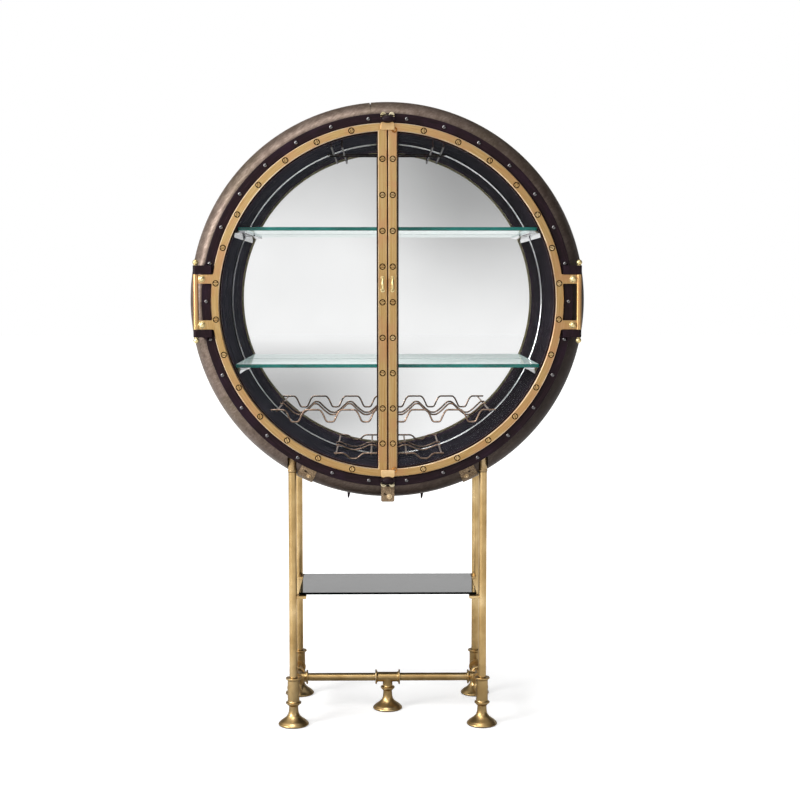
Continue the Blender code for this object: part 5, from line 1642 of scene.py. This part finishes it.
def make_legs(brass, collar, patina):
    """Front legs with bead and collar, and rear legs cut to the round underside of the drum."""
    start = TEE_TOP + FIT_GAP
    under_bead = LEG_BEAD_HEIGHT - LEG_BEAD_REACH
    over_bead = LEG_BEAD_HEIGHT + LEG_BEAD_REACH
    bead = [(LEG_RADIUS, under_bead - 0.001), (LEG_RADIUS + 0.0006, under_bead)]
    bead += arc((LEG_BEAD_RADIUS - LEG_BEAD_BULGE, LEG_BEAD_HEIGHT),
                (LEG_BEAD_BULGE, LEG_BEAD_HALF_HEIGHT), -80, 80, 8)
    profile = [(LEG_RADIUS - 0.0004, start), (LEG_RADIUS, start + 0.0004), *bead]
    profile += [(LEG_COLLAR_FOOT_RADIUS, over_bead), (LEG_COLLAR_TOP_RADIUS, LEG_TOP - 0.001),
                (LEG_COLLAR_TOP_RADIUS - 0.001, LEG_TOP)]
    drum_radius = SHELL_RADIUS + FIT_GAP
    for side_name, side in SIDES:
        place = (side * LEG_X, RING_FACE + FRONT_LEG_DEPTH, 0)
        front = united(turned(profile, place), leg_tab(side, FRONT_LEG_DEPTH, 1))
        add_piece("front_" + side_name + "_pipe_leg", front, [brass, collar, patina], "antique_brass",
                  replaces=["front_" + side_name + "_leg"], paint=leg_paint)
        rear = pipe(LEG_RADIUS, start, LEG_TOP, (side * LEG_X, RING_FACE + REAR_LEG_DEPTH, 0))
        rear = united(rear, leg_tab(side, REAR_LEG_DEPTH, -1))
        hollow = cylinder(drum_radius, -2 * SHELL_BACK, 0.0, steps=DRUM_STEPS)
        hollow.transform(facing_front(0, 0, 0))
        add_piece("rear_" + side_name + "_pipe_leg", cut(rear, hollow), brass, "antique_brass",
                  replaces=["rear_" + side_name + "_leg"])


# Stage, light and camera

def make_floor():
    """Pale floor that keeps the shadows and fades to the white background around the object.
    In the metal and the mirror it is brighter to the right, and blends with the world far off."""
    corners = [(x * FLOOR_REACH, y * FLOOR_REACH) for x, y in ((-1, -1), (1, -1), (1, 1), (-1, 1))]
    slab = skin([[Vector((x, y, z)) for x, y in corners] for z in (-FLOOR_THICKNESS, 0.0)])
    floor = bpy.data.objects.new("floor", slab)
    bpy.context.scene.collection.objects.link(floor)
    look = Finish("pale_floor", Roughness=0.9, Specular_IOR_Level=0.0)
    path = look.node("LightPath").outputs
    x, y, _ = look.split()
    out = look.calc("SQRT", look.plus(look.times(x, x), look.times(y, y)))
    far = look.level(out, 0.4, 1.1)
    seen = look.times(look.plus(look.times(far, 0.45), 0.55), path["Is Camera Ray"])
    plain_sheen = 0.74
    sidelong = look.level(look.calc("DIVIDE", x, out), -0.07, 0.05, 0.27, plain_sheen)
    far_band = look.times(look.level(out, 5.0, 9.0), look.level(out, 28.0, 13.0))
    sheen = look.plus(look.times(look.calc("SUBTRACT", sidelong, plain_sheen), far_band), plain_sheen)
    mirrored = look.times(look.times(far, sheen), path["Is Glossy Ray"])
    near_metal = look.times(look.calc("SUBTRACT", 1.0, far), path["Is Glossy Ray"])
    look.set("Base Color", look.blend(near_metal, (0.65, 0.65, 0.65, 1), (0.42, 0.42, 0.42, 1)))
    look.set("Emission Color", (1, 1, 1, 1))
    look.set("Emission Strength", look.plus(seen, mirrored))
    floor.data.materials.append(look.material)


def make_world():
    """Soft studio light. The camera sees white, and metal and glass see it fade to grey above
    and to the right."""
    world = bpy.data.worlds.new("studio")
    bpy.context.scene.world = world
    world.use_nodes = True
    world.node_tree.nodes.clear()
    sky = Nodes(world.node_tree)

    def mix(factor, first, second):
        return sky.node("Mix", {"Factor": factor, "A": first, "B": second}).outputs["Result"]

    def glow(strength):
        return sky.node("Background", {"Color": (1, 1, 1, 1), "Strength": strength}).outputs[0]

    def either(factor, first, second):
        return sky.node("MixShader", {0: factor, 1: first, 2: second}).outputs[0]

    path = sky.node("LightPath").outputs
    x, y, z = sky.node("SeparateXYZ", {0: sky.node("TexCoord").outputs["Generated"]}).outputs

    # What metal and glass see in front of the object, beside it and behind it
    above = mix(sky.fade(z, 0.25, 0.50), sky.fade(z, 0.01, 0.10, 1.0, 0.60), 1.9)
    below = sky.fade(z, -0.75, -0.20, 0.45, 1.0)
    sideways = sky.times(sky.fade(x, 0.12, 0.60, 1.0, 0.15), sky.fade(x, -0.70, -0.20, 1.3, 1.0))
    right_above = sky.times(sky.fade(x, -0.03, 0.06), sky.fade(z, -0.04, 0.06, 0.0, 0.45))
    ahead = sky.times(above, sky.calc("SUBTRACT", 1.0, right_above))
    front = sky.times(sky.times(ahead, below), sideways)
    aside = sky.calc("MAXIMUM", sky.fade(x, -0.75, 0.20, 1.15, 0.02), sky.fade(z, 0.5, 0.95, 0.0, 0.6))
    low_strip = sky.times(sky.fade(z, 0.15, 0.175, 0.05, 1.0), sky.fade(z, 0.25, 0.28, 1.0, 0.05))
    rear = mix(sky.fade(y, 0.15, 0.65), aside, low_strip)
    sheen = mix(sky.fade(y, -0.40, 0.0), front, rear)

    lit = either(path["Is Glossy Ray"], glow(AMBIENT_STRENGTH), glow(sheen))
    through = sky.calc("MAXIMUM", path["Is Camera Ray"], path["Is Transmission Ray"])
    final = either(through, lit, glow(1.0))
    sky.feed(sky.node("OutputWorld").inputs[0], final)


def make_lights():
    """Round lamps that all aim at one place in the drum."""
    for name, (place, size, power, glossy) in LAMPS.items():
        lamp = bpy.data.lights.new(name, "AREA")
        lamp.shape = "DISK"
        lamp.size = size
        lamp.energy = power
        holder = bpy.data.objects.new(name, lamp)
        holder.location = place
        holder.rotation_euler = (LAMP_AIM - Vector(place)).to_track_quat("-Z", "Y").to_euler()
        holder.visible_glossy = glossy
        bpy.context.scene.collection.objects.link(holder)


def make_camera():
    """Camera of the front view, without roll."""
    camera = bpy.data.cameras.new("view")
    camera.sensor_width = SENSOR_MM
    camera.lens = VIEW_FOCAL_PIXELS / VIEW_PIXELS * SENSOR_MM
    level = Vector((math.sin(CAMERA_YAW), math.cos(CAMERA_YAW), 0))
    forward = level * math.cos(CAMERA_PITCH) - Vector((0, 0, math.sin(CAMERA_PITCH)))
    right = Vector((level.y, -level.x, 0))
    turn = Matrix((right, right.cross(forward), -forward)).transposed()
    holder = bpy.data.objects.new("view", camera)
    holder.matrix_world = Matrix.Translation(CAMERA_PLACE) @ turn.to_4x4()
    bpy.context.scene.collection.objects.link(holder)
    bpy.context.scene.camera = holder


def build():
    """Every piece from the shell to the stand's shelf, and then floor, world, lamps and camera."""
    black = plum_enamel()
    # Its last colour is a painted highlight on the inner side of the pane and shelf edges.
    green_edge = glass_edge("green_glass_edge", srgb(0, 84, 76), srgb(20, 116, 108), srgb(200, 232, 226))
    looks = {
        "brass": brushed_brass("door_brass", srgb(203, 168, 112), srgb(222, 192, 138), srgb(182, 141, 84)),
        # Lighter brass for the bevels: rubbed edges and a painted highlight.
        "edge": brushed_brass("door_brass_edge_highlight", srgb(250, 226, 190), srgb(255, 240, 214),
                              srgb(230, 196, 150), 0.26),
        "patina": speckled("dark_patina", 700.0, (0.35, srgb(30, 12, 2)), (0.7, srgb(62, 32, 8)), 0.4,
                           Roughness=0.8, Specular_IOR_Level=0.1),
        "screw": cast_brass("screw_brass"),
        "bright": cast_brass("hinge_brass"),
        "eye": cast_brass("eye_brass"),
        "lobe": cast_brass("lobe_brass"),
        "flap": cast_brass("flap_brass"),
        "black": black,
        "retainer": pale_painted_light_lacquer(),
        "pane": float_glass("door_glass", (0.82, 0.90, 0.88, 1.0), 0.08, 0.004),
        "green_edge": green_edge,
    }
    bolt_brass = cast_brass("bolt_brass")
    old_brass = cast_brass("antique_brass")
    casting = rough_bronze()
    chrome = bright_chrome()

    make_shell(bronze_cladding())
    make_dark_ring(black)
    make_rivets(plum_enamel("rivet_enamel", 0.14, 0.9, 0.0, 1.0))
    make_drum_inside(liner_lacquer(), mirror_silver(), chrome)
    make_back(stained_plywood(), looks["screw"])
    make_studs(black)
    for prefix, side in SIDES:
        make_side_bracket(prefix + "_bracket", side * SIDE_BRACKET_ANGLE, casting, bolt_brass)
    make_bottom_bracket(casting, bolt_brass)
    for prefix, side in SIDES:
        make_door(prefix, side, looks)
        make_hinge_pin(prefix, side, looks["bright"])
    make_meeting_seal(speckled("seal_rubber", 500.0, (0.3, srgb(54, 28, 10)), (0.7, srgb(74, 42, 18)), 0.3,
                               Roughness=0.7))
    make_latch("top", 1, looks)
    make_latch("bottom", -1, looks)
    make_inner_shelves(looks["green_edge"], chrome)
    wire = bronze_wire()
    for name in BOTTLE_RACKS:
        make_bottle_rack(name, wire)
    make_stemware_rack(black)
    make_legs(old_brass, cast_brass("lit_collar_brass"), looks["patina"])
    make_pipework(old_brass)
    make_stand_shelf()
    make_floor()
    make_world()
    make_lights()
    make_camera()
    bpy.context.scene.view_settings.view_transform = "Standard"


build()
